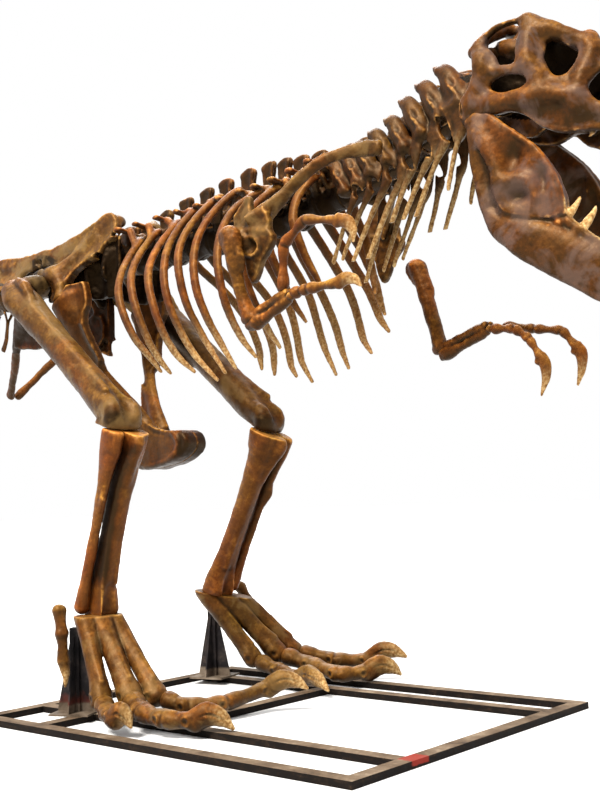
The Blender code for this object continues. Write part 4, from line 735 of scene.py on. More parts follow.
def shin(s):
    L = LEG[s]
    k0, a = vec(L["knee"]), vec(L["ankle"])
    sd = unit(a - k0)
    k2 = k0 + vec((0.015, -s * 0.045, 0))
    fr = unit(vec((1, 0, 0)) - sd * sd[0])
    lat = unit(np.cross(fr, sd))
    if lat[1] * s < 0:
        lat = -lat
    P = lambda t, f=0.0, b=0.0: mix(k2, a, t) + fr * f + lat * b
    T = field_of("tibia_" + NM[s], 0.009, 0.05)
    T.rod([P(0.03), P(0.10), P(0.22), P(0.38), P(0.55), P(0.72), P(0.86), P(0.95), P(1.02)],
          [(0.118, 0.110), (0.110, 0.108), (0.090, 0.090), (0.074, 0.078), (0.070, 0.074), (0.072, 0.074), (0.094, 0.080), (0.120, 0.084), (0.122, 0.082)],
          up=fr, k=0.02, n=4)
    # shin crest in front of the knee
    T.rod([P(0.035, 0.10, 0.03), P(0.08, 0.125, 0.035), P(0.16, 0.105, 0.03), P(0.30, 0.07, 0.02)], [0.035, 0.042, 0.030, 0.014], k=0.04, n=3)
    T.rod([P(0.05, -0.05, -0.07), P(0.12, -0.06, -0.06)], [0.05, 0.03], k=0.04, n=1)
    T.rod([P(0.25, 0.055, -0.035), P(0.55, 0.05, -0.03), P(0.85, 0.06, -0.05)], [0.016, 0.014, 0.02], k=0.03, n=2)
    # ankle rollers
    for q in (-0.055, 0.055):
        T.rod([P(0.93, 0.03, q), P(1.0, 0.055, q), P(1.03, 0.0, q)], [0.045, 0.058, 0.050], k=0.03, n=2)
    T.rod([P(0.88, 0.10, 0), P(1.0, 0.12, 0)], [0.03, 0.045], k=0.03, cut=True, n=1)
    f0, f1 = vec(L["fib"]) + vec((0, s * 0.01, 0)), vec(L["fibend"])
    B = field_of("fibula_" + NM[s], 0.009, 0.05)
    Q = lambda t, f=0.0, b=0.0: mix(f0, f1, t) + fr * f + lat * b
    B.rod([Q(-0.01), Q(0.08), Q(0.18), Q(0.34), Q(0.60), Q(0.85), Q(0.97), Q(1.02)],
          [(0.052, 0.092), (0.050, 0.086), (0.042, 0.064), (0.034, 0.046), (0.030, 0.038), (0.034, 0.040), (0.042, 0.052), (0.046, 0.054)],
          up=fr, k=0.02, n=4)
    B.rod([Q(0.30, 0.03, 0.015), Q(0.36, 0.04, 0.02), Q(0.43, 0.03, 0.01)], [0.012, 0.022, 0.012], k=0.02, n=2)
    kp = k0 + sd * 0.038
    ap = a + sd * 0.060
    an = unit(sd + vec((0.25, 0, 0)))
    mid = (vec(L["fib"]) + k2) / 2 + vec((0, s * 0.018, 0))
    f_ax = (vec(L["fibend"]) + a) / 2 + vec((0, s * 0.012, 0)) - mid
    pn = unit(np.cross(f_ax, (1, 0, 0)))
    if pn[1] * s < 0:
        pn = -pn
    for G in (T, B):
        G.rough(0.0030, 0.15, 41 + s)
        G.rough(0.0014, 0.045, 43)
        G.rough(0.0009, 0.018, 44)
        G.halfspace(kp, -sd)
        G.halfspace(ap, an)
    T.halfspace(mid - pn * 0.003, pn)
    B.halfspace(mid + pn * 0.003, -pn)
    return T, B


# ------------------------------------------------------------------ feet
FOOT = {-1: dict(top=[(0.295, -0.605, 0.640), (0.275, -0.690, 0.640), (0.235, -0.770, 0.650)],
                 bot=[(0.735, -0.620, 0.165), (0.640, -0.755, 0.175), (0.520, -0.880, 0.165)],
                 toes=[[(0.94, -0.56, 0.105), (1.05, -0.34, 0.105), (1.10, -0.03, 0.150), (1.33, 0.11, 0.150)],
                       [(0.88, -0.87, 0.115), (1.12, -0.90, 0.105), (1.28, -0.84, 0.105), (1.49, -0.72, 0.060)],
                       [(0.72, -0.99, 0.115), (0.84, -1.055, 0.110), (0.84, -1.055, 0.110), (0.965, -1.03, 0.065)]],
                 hal=[(0.180, -0.925, 0.690), (0.205, -0.930, 0.550), (0.215, -0.930, 0.380), (0.23, -0.930, 0.225)]),
        1: dict(top=[(-0.005, 0.565, 0.640), (0.065, 0.650, 0.645), (0.115, 0.735, 0.655)],
                bot=[(0.340, 0.660, 0.200), (0.430, 0.820, 0.225), (0.440, 0.985, 0.225)],
                toes=[[(0.60, 0.655, 0.125), (0.82, 0.60, 0.105), (0.82, 0.60, 0.105), (1.16, 0.515, 0.060)],
                      [(0.68, 0.90, 0.145), (0.98, 0.85, 0.105), (1.10, 1.00, 0.110), (1.30, 1.14, 0.090)],
                      [(0.72, 1.12, 0.150), (0.93, 1.24, 0.150), (0.93, 1.24, 0.150), (1.20, 1.34, 0.180)]],
                hal=[(0.0, 0.900, 0.680), (0.080, 0.930, 0.550), (0.200, 0.985, 0.440), (0.270, 1.02, 0.335)])}
TOE_R = 0.064


def phalanx(F, a, b, r0, r1, up=(0, 0, 1)):
    """A toe bone: knuckles at both ends, a waist, and hollows on the sides."""
    a, b = vec(a), vec(b)
    d = unit(b - a)
    L = np.linalg.norm(b - a)
    side = unit(np.cross(d, up))
    u = np.cross(side, d)
    e = min(r0, L * 0.25)
    F.rod([a + d * e * 0.5, a + d * e * 1.05, mix(a, b, 0.5) - u * r0 * 0.04, b - d * e * 0.95, b - d * e * 0.45],
          [(r0 * 0.96, r0 * 0.90), (r0 * 0.94, r0 * 0.88), (r0 * 0.76, r0 * 0.74), (r1 * 0.90, r1 * 0.86), (r1 * 0.94, r1 * 0.90)], up=up, k=0.01, n=3)
    for s in (-1, 1):
        F.rod([b - d * e * 0.55 + side * s * r1 * 0.45 + u * r1 * 0.25, b - d * e * 0.35 + side * s * r1 * 0.42 - u * r1 * 0.2], [r1 * 0.50, r1 * 0.50], k=0.02, n=1)
        F.ball(b - d * e * 0.6 + side * s * r1 * 1.12, r1 * 0.34, k=0.01, cut=True)


def claw(F, a, b, r, hook=0.075):
    a, b = vec(a), vec(b)
    m = (a + b) / 2 + vec((0, 0, hook))
    pts = curve([a, a + (m - a) * 0.72, m + (b - m) * 0.38, b], 4)
    rad = [(r, r * 1.30), (r * 0.98, r * 1.38), (r * 0.74, r * 1.02), (0.009, 0.012)]
    F.rod(pts, rad, k=0.008, n=1)
    F.ball(a - vec((0, 0, r * 0.6)), (r * 0.8, r * 0.7, r * 0.5), k=0.02)
    d = unit(b - a)
    side = unit(np.cross(d, (0, 0, 1)))
    for s in (-1, 1):
        q = [p + side * s * (r * 1.05 * (1 - 0.72 * i / (len(pts) - 1))) + vec((0, 0, 0.006)) for i, p in enumerate(pts[2:-2])]
        F.rod(q, [0.006, 0.004], k=0.006, cut=True, n=1)


def metatarsus(s, ap, an):
    F0 = FOOT[s]
    F = field_of("metatarsus_" + NM[s], 0.0085, 0.05)
    for i, (t, b) in enumerate(zip(F0["top"], F0["bot"])):
        t, b = vec(t), vec(b)
        d = unit(b - t)
        r = (0.062, 0.070, 0.062)[i]
        F.rod([t - d * 0.05, mix(t, b, 0.06), mix(t, b, 0.20), mix(t, b, 0.48), mix(t, b, 0.74), mix(t, b, 0.90), b],
              [r * 1.15, r * 1.12, r * 1.02, r * 0.92, r * 0.92, r * 1.04, r * 1.10], k=0.012, n=4)
        side = unit(np.cross(d, (0, 0, 1)))
        up = np.cross(side, d)
        for q in (-1, 1):
            F.rod([b - d * 0.03 + side * q * r * 0.55, b + d * 0.02 + side * q * r * 0.50 - up * 0.01], [r * 0.66, r * 0.62], k=0.012, n=1)
            F.ball(b - d * 0.005 + side * q * r * 1.38, r * 0.38, k=0.012, cut=True)
        F.rod([mix(t, b, 0.30) + up * r * 0.78, mix(t, b, 0.60) + up * r * 0.78, mix(t, b, 0.84) + up * r * 0.95], [0.010, 0.010, 0.014], k=0.03, n=2)
    F.rough(0.0026, 0.09, 51 + s)
    F.rough(0.0012, 0.03, 52)
    F.halfspace(ap + an * 0.008, -an)
    return F


def toe(s, i):
    F0 = FOOT[s]
    F = field_of("toe_%s_%d" % (NM[s], i + 2), 0.0075, 0.05)
    b = vec(F0["bot"][i])
    js = [vec(j) for j in F0["toes"][i]]
    r = TOE_R * (0.96, 1.06, 0.96)[i]
    st = b + unit(js[0] - b) * 0.070
    uniq = [js[0], js[1]] + ([js[2]] if np.linalg.norm(js[2] - js[1]) > 0.01 else [])
    prev = st
    for j in uniq:
        phalanx(F, prev, j, r * 1.06, r * 0.98)
        prev = j
        r *= 0.94
    claw(F, prev + unit(js[3] - prev) * 0.012, js[3], r * 0.92)
    F.rough(0.0024, 0.05, 61 + i + 3 * s)
    F.rough(0.0010, 0.02, 64)
    F.halfspace((0, 0, 0.0415), (0, 0, -1))
    return F


def hallux(s):
    F = field_of("hallux_" + NM[s], 0.0075, 0.04)
    h = [vec(p) for p in FOOT[s]["hal"]]
    F.rod([h[0], mix(h[0], h[1], 0.5), h[1]], [0.046, 0.034, 0.040], k=0.01, n=2)
    F.rod([h[1], mix(h[1], h[2], 0.5), h[2]], [0.042, 0.031, 0.038], k=0.01, n=2)
    F.rod([mix(h[2], h[3], 0.05), mix(h[2], h[3], 0.5) + vec((0.014, 0, 0)), h[3]], [0.036, 0.026, 0.006], k=0.008, n=3)
    F.rough(0.003, 0.04, 66)
    return F

# ------------------------------------------------------------------ rib cage
# rib: root x, bulge (x, y, z), tip (x, y, z)
RIBS_R = [(0.12, (0.36, 0.48, 2.78), (0.66, 0.44, 2.19)),
          (0.31, (0.53, 0.54, 2.78), (0.75, 0.44, 2.17)),
          (0.50, (0.74, 0.58, 2.79), (0.98, 0.45, 2.16)),
          (0.68, (0.89, 0.61, 2.80), (1.18, 0.45, 2.09)),
          (0.87, (1.01, 0.62, 2.82), (1.24, 0.44, 2.13)),
          (1.06, (1.15, 0.62, 2.82), (1.33, 0.44, 2.15)),
          (1.23, (1.37, 0.59, 2.78), (1.50, 0.44, 2.20)),
          (1.41, (1.53, 0.54, 2.78), (1.68, 0.42, 2.24)),
          (1.58, (1.68, 0.46, 2.82), (1.83, 0.35, 2.38)),
          (1.73, (1.79, 0.34, 2.90), (1.885, 0.25, 2.58))]
RIBS_L = [(0.12, (0.36, 0.48, 2.78), (0.71, 0.46, 2.25)),
          (0.31, (0.53, 0.54, 2.78), (0.83, 0.46, 2.20)),
          (0.50, (0.74, 0.58, 2.79), (1.03, 0.46, 2.17)),
          (0.68, (0.89, 0.61, 2.80), (1.17, 0.46, 2.12)),
          (0.87, (1.03, 0.62, 2.82), (1.38, 0.46, 2.15)),
          (1.06, (1.19, 0.62, 2.82), (1.49, 0.46, 2.18)),
          (1.23, (1.38, 0.59, 2.78), (1.69, 0.45, 2.26)),
          (1.41, (1.55, 0.54, 2.78), (1.86, 0.42, 2.38)),
          (1.58, (1.69, 0.46, 2.82), (1.885, 0.35, 2.48)),
          (1.73, (1.79, 0.34, 2.90), (1.89, 0.25, 2.60))]


# course of each rib on the right, from the side process round the chest to the tip: (x, y outwards, z)
COURSE = [[(0.21, 0.20, 3.15), (0.25, 0.34, 3.01), (0.32, 0.47, 2.87), (0.385, 0.55, 2.73), (0.46, 0.58, 2.58), (0.54, 0.56, 2.41), (0.60, 0.50, 2.29), (0.65, 0.44, 2.18)],
          [(0.38, 0.20, 3.18), (0.39, 0.34, 3.04), (0.44, 0.47, 2.89), (0.51, 0.55, 2.75), (0.59, 0.58, 2.58), (0.66, 0.56, 2.39), (0.70, 0.50, 2.25), (0.73, 0.44, 2.16)],
          [(0.60, 0.20, 3.21), (0.59, 0.34, 3.07), (0.62, 0.47, 2.91), (0.68, 0.55, 2.77), (0.755, 0.58, 2.59), (0.82, 0.56, 2.41), (0.88, 0.50, 2.26), (0.96, 0.44, 2.16)],
          [(0.80, 0.20, 3.28), (0.77, 0.34, 3.14), (0.79, 0.47, 2.98), (0.83, 0.55, 2.81), (0.88, 0.58, 2.64), (0.94, 0.56, 2.46), (1.02, 0.50, 2.26), (1.16, 0.44, 2.08)],
          [(1.00, 0.20, 3.31), (0.96, 0.34, 3.19), (0.94, 0.47, 3.03), (0.96, 0.55, 2.88), (1.00, 0.58, 2.72), (1.04, 0.56, 2.54), (1.11, 0.50, 2.34), (1.21, 0.44, 2.13)],
          [(1.17, 0.20, 3.32), (1.10, 0.34, 3.19), (1.07, 0.47, 3.01), (1.09, 0.55, 2.83), (1.13, 0.58, 2.65), (1.18, 0.56, 2.47), (1.22, 0.50, 2.31), (1.27, 0.44, 2.15)],
          [(1.37, 0.20, 3.27), (1.28, 0.34, 3.17), (1.28, 0.47, 3.01), (1.31, 0.55, 2.84), (1.35, 0.58, 2.67), (1.38, 0.56, 2.50), (1.42, 0.50, 2.33), (1.48, 0.44, 2.20)],
          [(1.50, 0.20, 3.27), (1.44, 0.33, 3.16), (1.44, 0.45, 3.01), (1.47, 0.52, 2.85), (1.52, 0.54, 2.69), (1.57, 0.52, 2.53), (1.62, 0.47, 2.37), (1.68, 0.42, 2.24)],
          [(1.64, 0.19, 3.28), (1.60, 0.30, 3.17), (1.60, 0.39, 3.05), (1.63, 0.45, 2.92), (1.67, 0.46, 2.79), (1.72, 0.44, 2.66), (1.77, 0.40, 2.51), (1.83, 0.35, 2.38)],
          [(1.78, 0.18, 3.28), (1.74, 0.25, 3.19), (1.73, 0.30, 3.10), (1.75, 0.34, 3.00), (1.78, 0.34, 2.90), (1.81, 0.32, 2.79), (1.85, 0.29, 2.68), (1.885, 0.25, 2.58)]]


def rib(F, s, root, bulge, tip, k):
    """A flattened rib sweeping out from the spine and in again towards its tip."""
    z = line_z(root)
    C = [vec((x, s * y, zz)) for x, y, zz in COURSE[k]]
    end = vec((tip[0], s * tip[1], tip[2])) - C[-1]
    C = [p + end * (i / 7) ** 1.8 for i, p in enumerate(C)]
    P = [vec((root - 0.01, s * 0.085, z + 0.05)), vec(((root + C[0][0]) / 2, s * 0.15, (z + 0.10 + C[0][2]) / 2))] + C
    F.rod(P, [(0.026, 0.030), (0.026, 0.034), (0.024, 0.036), (0.022, 0.036), (0.021, 0.034), (0.020, 0.033), (0.020, 0.031), (0.019, 0.029), (0.017, 0.025), (0.010, 0.013)],
          up=(1, 0, 0.15), k=0.008, n=4)
    # second head on the side process, and the ridge along the outer face
    F.rod([(root + 0.0, s * 0.20, z + 0.165), (root * 0.5 + C[0][0] * 0.5, s * 0.22, z * 0.4 + 0.06 + C[0][2] * 0.6), C[1] * 0.35 + C[0] * 0.65], [0.026, 0.026, 0.018], k=0.02, n=2)
    Q = [p + vec((0.014, s * 0.010, 0)) for p in C[:7]]
    F.rod(Q, [0.009, 0.010, 0.010, 0.010, 0.009, 0.008, 0.006], k=0.014, n=4)


def block_spine(F, x, L, top, w=0.017, lean=0.0):
    """Flat spine of a back vertebra with a rough swollen top."""
    z = line_z(x)
    j = RNG.uniform(-1, 1, 8)
    F.plate([(x - L * 0.40 - lean * 0.3, z + 0.09), (x + L * 0.34 - lean * 0.3, z + 0.09), (x + L * 0.33 + lean * 0.3, top - 0.13), (x + L * 0.47 + lean, top - 0.03),
             (x + L * 0.44 + lean, top + 0.006 * j[0]), (x + L * 0.1 + lean, top + 0.010 + 0.006 * j[1]), (x - L * 0.40 + lean, top - 0.014 + 0.006 * j[2]),
             (x - L * 0.46 + lean, top - 0.05), (x - L * 0.36 + lean * 0.3, top - 0.14)], w, k=0.018, r=0.010, smooth=2)
    F.rod([(x + L * 0.38 + lean, 0, top - 0.020), (x + lean, 0, top - 0.014), (x - L * 0.34 + lean, 0, top - 0.030)], [w * 1.15, w * 1.0, w * 1.15], k=0.015, n=2)
    for q in (-1, 1):
        F.ball((x + L * (0.02 + 0.1 * j[3]) + lean * 0.6, q * (w + 0.016), top - 0.085), (L * 0.26, 0.020, 0.045), k=0.015, cut=True)
        F.rod([(x + L * 0.40 + lean * 0.7, q * w * 0.8, top - 0.03), (x + L * 0.36, q * w * 0.7, top - 0.15), (x + L * 0.30, q * w * 1.2, z + 0.12)], [0.011, 0.008, 0.012], k=0.015, n=2)


def ribcage(s):
    F = field_of("ribcage_" + NM[s], 0.0088, 0.05)
    xs = [0.005 + i * 0.190 for i in range(11)]
    for a, b in zip(xs, xs[1:]):
        spool(F, a, b, 0.104, 0.74)
        F.ball(((a + b) / 2, s * 0.088, line_z(a) + 0.035), (0.038, 0.022, 0.026), k=0.02, cut=True)
    tops = [(0.07, 3.31), (0.26, 3.375), (0.47, 3.43), (0.67, 3.46), (0.86, 3.485), (1.065, 3.505), (1.25, 3.515), (1.385, 3.51), (1.53, 3.50), (1.68, 3.495), (1.83, 3.47)]
    for i, (x, t) in enumerate(tops):
        z = line_z(x)
        L = 0.128 if i not in (6, 7) else 0.115
        block_spine(F, x, L, t, lean=0.012)
        # neural arch, side process with its struts, and joint processes
        F.rod([(x, s * 0.030, z + 0.07), (x, s * 0.045, z + 0.14)], [(0.045, 0.055), (0.040, 0.050)], up=(1, 0, 0), k=0.03, n=1)
        F.rod([(x, s * 0.03, z + 0.13), (x - 0.005, s * 0.15, z + 0.165), (x - 0.02, s * 0.265, z + 0.185)], [(0.040, 0.020), (0.032, 0.014), (0.034, 0.017)], up=(0, 0, 1), k=0.025, n=2)
        F.rod([(x - 0.02, s * 0.05, z + 0.02), (x - 0.01, s * 0.14, z + 0.12)], [0.020, 0.014], k=0.03, n=1)
        F.rod([(x + 0.04, s * 0.05, z + 0.13), (x + 0.105, s * 0.055, z + 0.165)], [0.024, 0.018], k=0.02, n=1)
        F.rod([(x - 0.04, s * 0.04, z + 0.16), (x - 0.09, s * 0.045, z + 0.175)], [0.022, 0.016], k=0.02, n=1)
        F.ball((x + 0.055, s * 0.11, z + 0.11), (0.030, 0.030, 0.028), k=0.02, cut=True)
    for x in xs:
        seam(F, x, 0.106)
    F.rough(0.0030, 0.06, 71)
    for i, r in enumerate(RIBS_R if s < 0 else RIBS_L):
        rib(F, s, *r, i)
    F.rough(0.0012, 0.025, 72)
    F.halfspace((0, 0, 0), (0, -s, 0))
    F.halfspace((0.0, 0, 0), (-1, 0, 0))
    F.halfspace((1.905, 0, 0), (1, 0, 0))
    return F


# ------------------------------------------------------------------ neck
# vertebra centres along x, height of the spine top and its x
NECK = [[(1.97, 1.91, 3.49), (2.07, 2.015, 3.50), (2.17, 2.12, 3.505)],
        [(2.29, 2.225, 3.53), (2.415, 2.32, 3.56)],
        [(2.54, 2.41, 3.61), (2.665, 2.53, 3.675), (2.80, 2.62, 3.72)]]
# dark lens-shaped gaps between the side wings: (x, z) centre and half height
LENS = [(2.105, 3.135, 0.045), (2.225, 3.155, 0.050), (2.355, 3.195, 0.058), (2.475, 3.24, 0.055), (2.60, 3.285, 0.060), (2.735, 3.36, 0.085)]
# neck ribs: (root x, root z, tip x, tip z) on each side
NRIBS = {-1: [[(2.09, 3.13, 1.94, 2.73), (2.20, 3.13, 2.01, 2.74)],
              [(2.31, 3.14, 2.08, 2.70), (2.42, 3.15, 2.15, 2.63)],
              [(2.50, 3.20, 2.28, 2.69), (2.63, 3.24, 2.40, 2.79), (2.72, 3.28, 2.53, 2.86), (2.84, 3.34, 2.77, 3.01)]],
         1: [[(2.05, 3.08, 1.84, 2.62), (2.20, 3.11, 2.00, 2.72)],
             [(2.30, 3.12, 2.08, 2.74), (2.38, 3.15, 2.15, 2.77)],
             [(2.48, 3.19, 2.31, 2.77), (2.63, 3.24, 2.46, 2.88), (2.74, 3.30, 2.65, 3.02)]]}


def neck(k):
    a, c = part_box("neck_%d" % (k + 1))
    F = Field(np.array(a) - SHIFT - 0.08, np.array(c) - SHIFT + np.array((0.06, 0.08, 0.03)), 0.0075)
    lean = unit((-0.48, 0, 0.88))
    for i, (x, tx, tz) in enumerate(NECK[k]):
        al = slope(x)
        t = vec((math.cos(al), 0, math.sin(al)))
        up = vec((-t[2], 0, t[0]))
        c = vec((x, 0, line_z(x)))
        F.cone(c - t * 0.060, c + t * 0.010, 0.098, 0.080, k=0.01)
        F.cone(c + t * 0.010, c + t * 0.056, 0.080, 0.100, k=0.01)
        top = vec((tx, 0, tz))
        # arch and a small hooked spike leaning back
        F.rod([c + up * 0.07, c * 0.45 + top * 0.55 + t * 0.02, top + t * 0.030 - up * 0.035], [(0.070, 0.052), (0.052, 0.044), (0.026, 0.026)], up=t, k=0.03, n=2)
        F.rod([top + t * 0.055 - up * 0.040, top + t * 0.016 - up * 0.014, top], [0.026, 0.016, 0.005], k=0.015, n=2)
        for s in (-1, 1):
            y = lambda v: vec((0, s * v, 0))
            # leaf-shaped side wing
            big = 1.0 + 0.16 * (k == 2)
            F.ball(c + lean * 0.055 * big + y(0.105), (0.058 * big, 0.052, 0.150 * big), k=0.02, X=t, Z=unit(lean - y(0.10)))
            F.rod([c + lean * 0.13 + y(0.10) + t * 0.01, c + lean * 0.175 * big + y(0.100) - t * 0.03, c + lean * 0.215 * big + y(0.085) - t * 0.050], [0.036, 0.028, 0.010], k=0.02, n=2)
            F.rod([c + lean * 0.13 + y(0.13), c + lean * 0.04 + y(0.155) + t * 0.008, c - lean * 0.06 + y(0.158) + t * 0.015], [0.012, 0.013, 0.014], k=0.015, n=3)
            F.ball(c + lean * 0.085 + y(0.165) + t * 0.024, (0.020, 0.018, 0.045), k=0.012, cut=True, X=t, Z=lean)
            F.ball(c - up * 0.02 + y(0.105) - t * 0.01, (0.040, 0.030, 0.030), k=0.015, cut=True, X=t, Z=up)
            F.rod([c - up * 0.01 + y(0.06), c - up * 0.055 + y(0.145)], [0.050, 0.036], k=0.03, n=1)
    if k == 2:
        # axis: tall broad spine with a hook, and the ring below the skull
        F.plate([(2.625, 3.712), (2.66, 3.735), (2.74, 3.722), (2.86, 3.712), (2.89, 3.62), (2.84, 3.52), (2.70, 3.50), (2.665, 3.58), (2.70, 3.665)], 0.026, k=0.03, r=0.016, smooth=2)
        for s in (-1, 1):
            wing = [(2.70, 3.66), (2.76, 3.69), (2.85, 3.68), (2.90, 3.60), (2.90, 3.48), (2.875, 3.38), (2.85, 3.30), (2.80, 3.27), (2.765, 3.33), (2.75, 3.42), (2.705, 3.50), (2.67, 3.58)]
            F.plate(wing, lambda u, v, e: 0.022 + 0.008 * np.exp(-(e / 0.02) ** 2), (0, s * 0.150, 0), k=0.03, r=0.018, smooth=2,
                    bend=lambda u, v, s=s: s * 0.10 * np.clip((v - 3.48) / 0.2, 0, 1))
        F.ball((2.86, 0, 3.58), (0.07, 0.09, 0.08), k=0.03)
    cut = (1.905, 2.22, 2.475, 9.0)
    if k > 0:
        x = cut[k]
        F.halfspace((x, 0, line_z(x)), (-math.cos(slope(x)), 0, -math.sin(slope(x))))
    if k < 2:
        x = cut[k + 1]
        F.halfspace((x, 0, line_z(x)), (math.cos(slope(x)), 0, math.sin(slope(x))))
    for s in (-1, 1):
        for j, (rx, rz, tx, tz) in enumerate(NRIBS[s][k]):
            h = vec((rx + 0.035, s * 0.115, line_z(rx + 0.035) - 0.035))
            F.rod([h, vec((rx + 0.022, s * 0.142, rz * 0.45 + h[2] * 0.55)), vec((rx, s * 0.156, rz)), vec((rx * 0.85 + tx * 0.15, s * 0.168, rz * 0.85 + tz * 0.15))],
                  [(0.022, 0.050), (0.020, 0.048), (0.018, 0.036), (0.014, 0.022)], up=(1, 0, 0.3), k=0.03, n=3)
            F.rod([(rx, s * 0.158, rz), (rx * 0.6 + tx * 0.4, s * 0.185, rz * 0.6 + tz * 0.4 + 0.004), (tx + (rx - tx) * 0.05, s * 0.203, tz + 0.03), (tx, s * 0.205, tz)],
                  [(0.016, 0.024), (0.013, 0.017), (0.0115, 0.0145), (0.010, 0.012)], up=(1, 0, 0), k=0.012, n=4)
    for x, z, hh in LENS:
        for s in (-1, 1):
            d = lean * hh
            for q in (0.165, 0.120):
                p = vec((x, s * q, z))
                F.rod([p - d + vec((0.006, 0, 0)), p - d * 0.35, p + d * 0.35, p + d], [0.010, 0.026 + 0.2 * (hh - 0.05), 0.028 + 0.2 * (hh - 0.05), 0.009], k=0.012, n=3, cut=True)
    F.rough(0.0022, 0.06, 81 + k)
    F.rough(0.0010, 0.02, 84)
    return F


# ------------------------------------------------------------------ shoulders and arms
def scapula(s):
    dx, dz = (0.0, 0.0) if s < 0 else (-0.02, 0.14)
    F = field_of("scapula_" + NM[s], 0.0078, 0.05)
    q = lambda x, y, z: (x + dx, s * y, z + dz)
    F.rod([q(2.395, 0.315, 3.305), q(2.22, 0.35, 3.318), q(2.06, 0.41, 3.285), q(1.94, 0.485, 3.19), q(1.85, 0.54, 3.09), q(1.77, 0.60, 3.00), q(1.72, 0.63, 2.93)],
          [(0.018, 0.043), (0.019, 0.038), (0.021, 0.036), (0.023, 0.036), (0.024, 0.040), (0.026, 0.060), (0.026, 0.09)], up=(0.35, 0, 0.94), k=0.015, n=5)
    # spade end with a squared edge
    F.plate([(2.385, 3.268), (2.40, 3.325), (2.36, 3.350), (2.28, 3.358), (2.18, 3.353), (2.18, 3.288), (2.30, 3.276)], 0.015, q(0, 0.325, 0), (1, 0, 0), (0, 0, 1), k=0.02, r=0.010, smooth=2)
    # shoulder plate with the hook, hollow in its middle
    out = [(1.79, 3.03), (1.735, 2.985), (1.70, 3.005), (1.695, 3.05), (1.70, 3.10), (1.665, 3.115), (1.63, 3.08), (1.575, 3.03), (1.525, 2.975),
           (1.545, 2.92), (1.61, 2.88), (1.68, 2.84), (1.75, 2.82), (1.82, 2.86), (1.84, 2.94)]
    F.plate(out, lambda u, v, e: 0.020 + 0.006 * np.exp(-(e / 0.020) ** 2), q(0, 0.635, 0), (1, 0, 0), (0, 0, 1), k=0.04, r=0.018, smooth=2)
    # coracoid
    cor = [(1.60, 2.92), (1.615, 2.83), (1.635, 2.74), (1.66, 2.66), (1.68, 2.605), (1.71, 2.60), (1.745, 2.64), (1.775, 2.71), (1.82, 2.76),
           (1.87, 2.82), (1.85, 2.88), (1.78, 2.90), (1.68, 2.92)]
    F.plate(cor, lambda u, v, e: 0.024 + 0.006 * np.exp(-(e / 0.020) ** 2), q(0, 0.640, 0), (1, 0, 0), (0, 0, 1), k=0.03, r=0.020, smooth=2)
    ring = [(1.70 + 0.060 * math.cos(a), 2.81 + 0.055 * math.sin(a)) for a in [i * math.pi / 6 for i in range(13)]]
    F.rod([q(x, 0.662, z) for x, z in ring], [0.013, 0.013], k=0.015, n=1)
    F.ball(q(1.70, 0.675, 2.81), (0.045, 0.030, 0.040), k=0.015, cut=True)
    F.rod([q(1.60, 0.655, 2.90), q(1.635, 0.67, 2.87), q(1.655, 0.66, 2.84)], [0.036, 0.030, 0.02], k=0.03, n=2)
    F.rough(0.0035, 0.07, 91)
    F.rough(0.0018, 0.022, 92)
    return F


def limb_bone(F, a, b, r0, r1, rm, bow=(0, 0, 0), up=(0, 0, 1), k=0.01):
    a, b = vec(a), vec(b)
    m = mix(a, b, 0.5) + vec(bow)
    g = lambda r, w: (r[0] * w, r[1] * w) if isinstance(r, tuple) else r * w
    F.rod([a, mix(a, b, 0.12) + vec(bow) * 0.3, m, mix(a, b, 0.88) + vec(bow) * 0.3, b], [g(r0, 0.85), r0, rm, r1, g(r1, 0.9)], up=up, k=k, n=4)


ARM = {-1: dict(hu=[(1.612, 0.738, 2.885), (1.622, 0.738, 2.80), (1.640, 0.732, 2.66), (1.672, 0.715, 2.50), (1.715, 0.700, 2.395)],
                el=(1.74, 0.692, 2.375), wr=(1.985, 0.685, 2.475),
                fa=[(1.958, 0.685, 2.520), (1.972, 0.685, 2.770), (2.135, 0.685, 2.885), (2.375, 0.685, 2.838), (2.47, 0.685, 2.705)],
                fb=[(2.03, 0.685, 2.488), (2.14, 0.685, 2.498), (2.355, 0.685, 2.500), (2.51, 0.685, 2.462)]),
       1: dict(hu=[(1.875, 0.738, 2.83), (1.90, 0.735, 2.76), (1.965, 0.715, 2.58), (2.03, 0.69, 2.40), (2.07, 0.68, 2.27)],
               el=(2.10, 0.68, 2.245), wr=(2.41, 0.68, 2.35),
               fa=[(2.48, 0.655, 2.34), (2.63, 0.655, 2.325), (2.73, 0.655, 2.25), (2.80, 0.655, 2.13), (2.79, 0.655, 1.905)],
               fb=[(2.51, 0.745, 2.36), (2.72, 0.745, 2.32), (2.90, 0.745, 2.29), (2.99, 0.745, 2.18), (2.985, 0.745, 1.955)])}


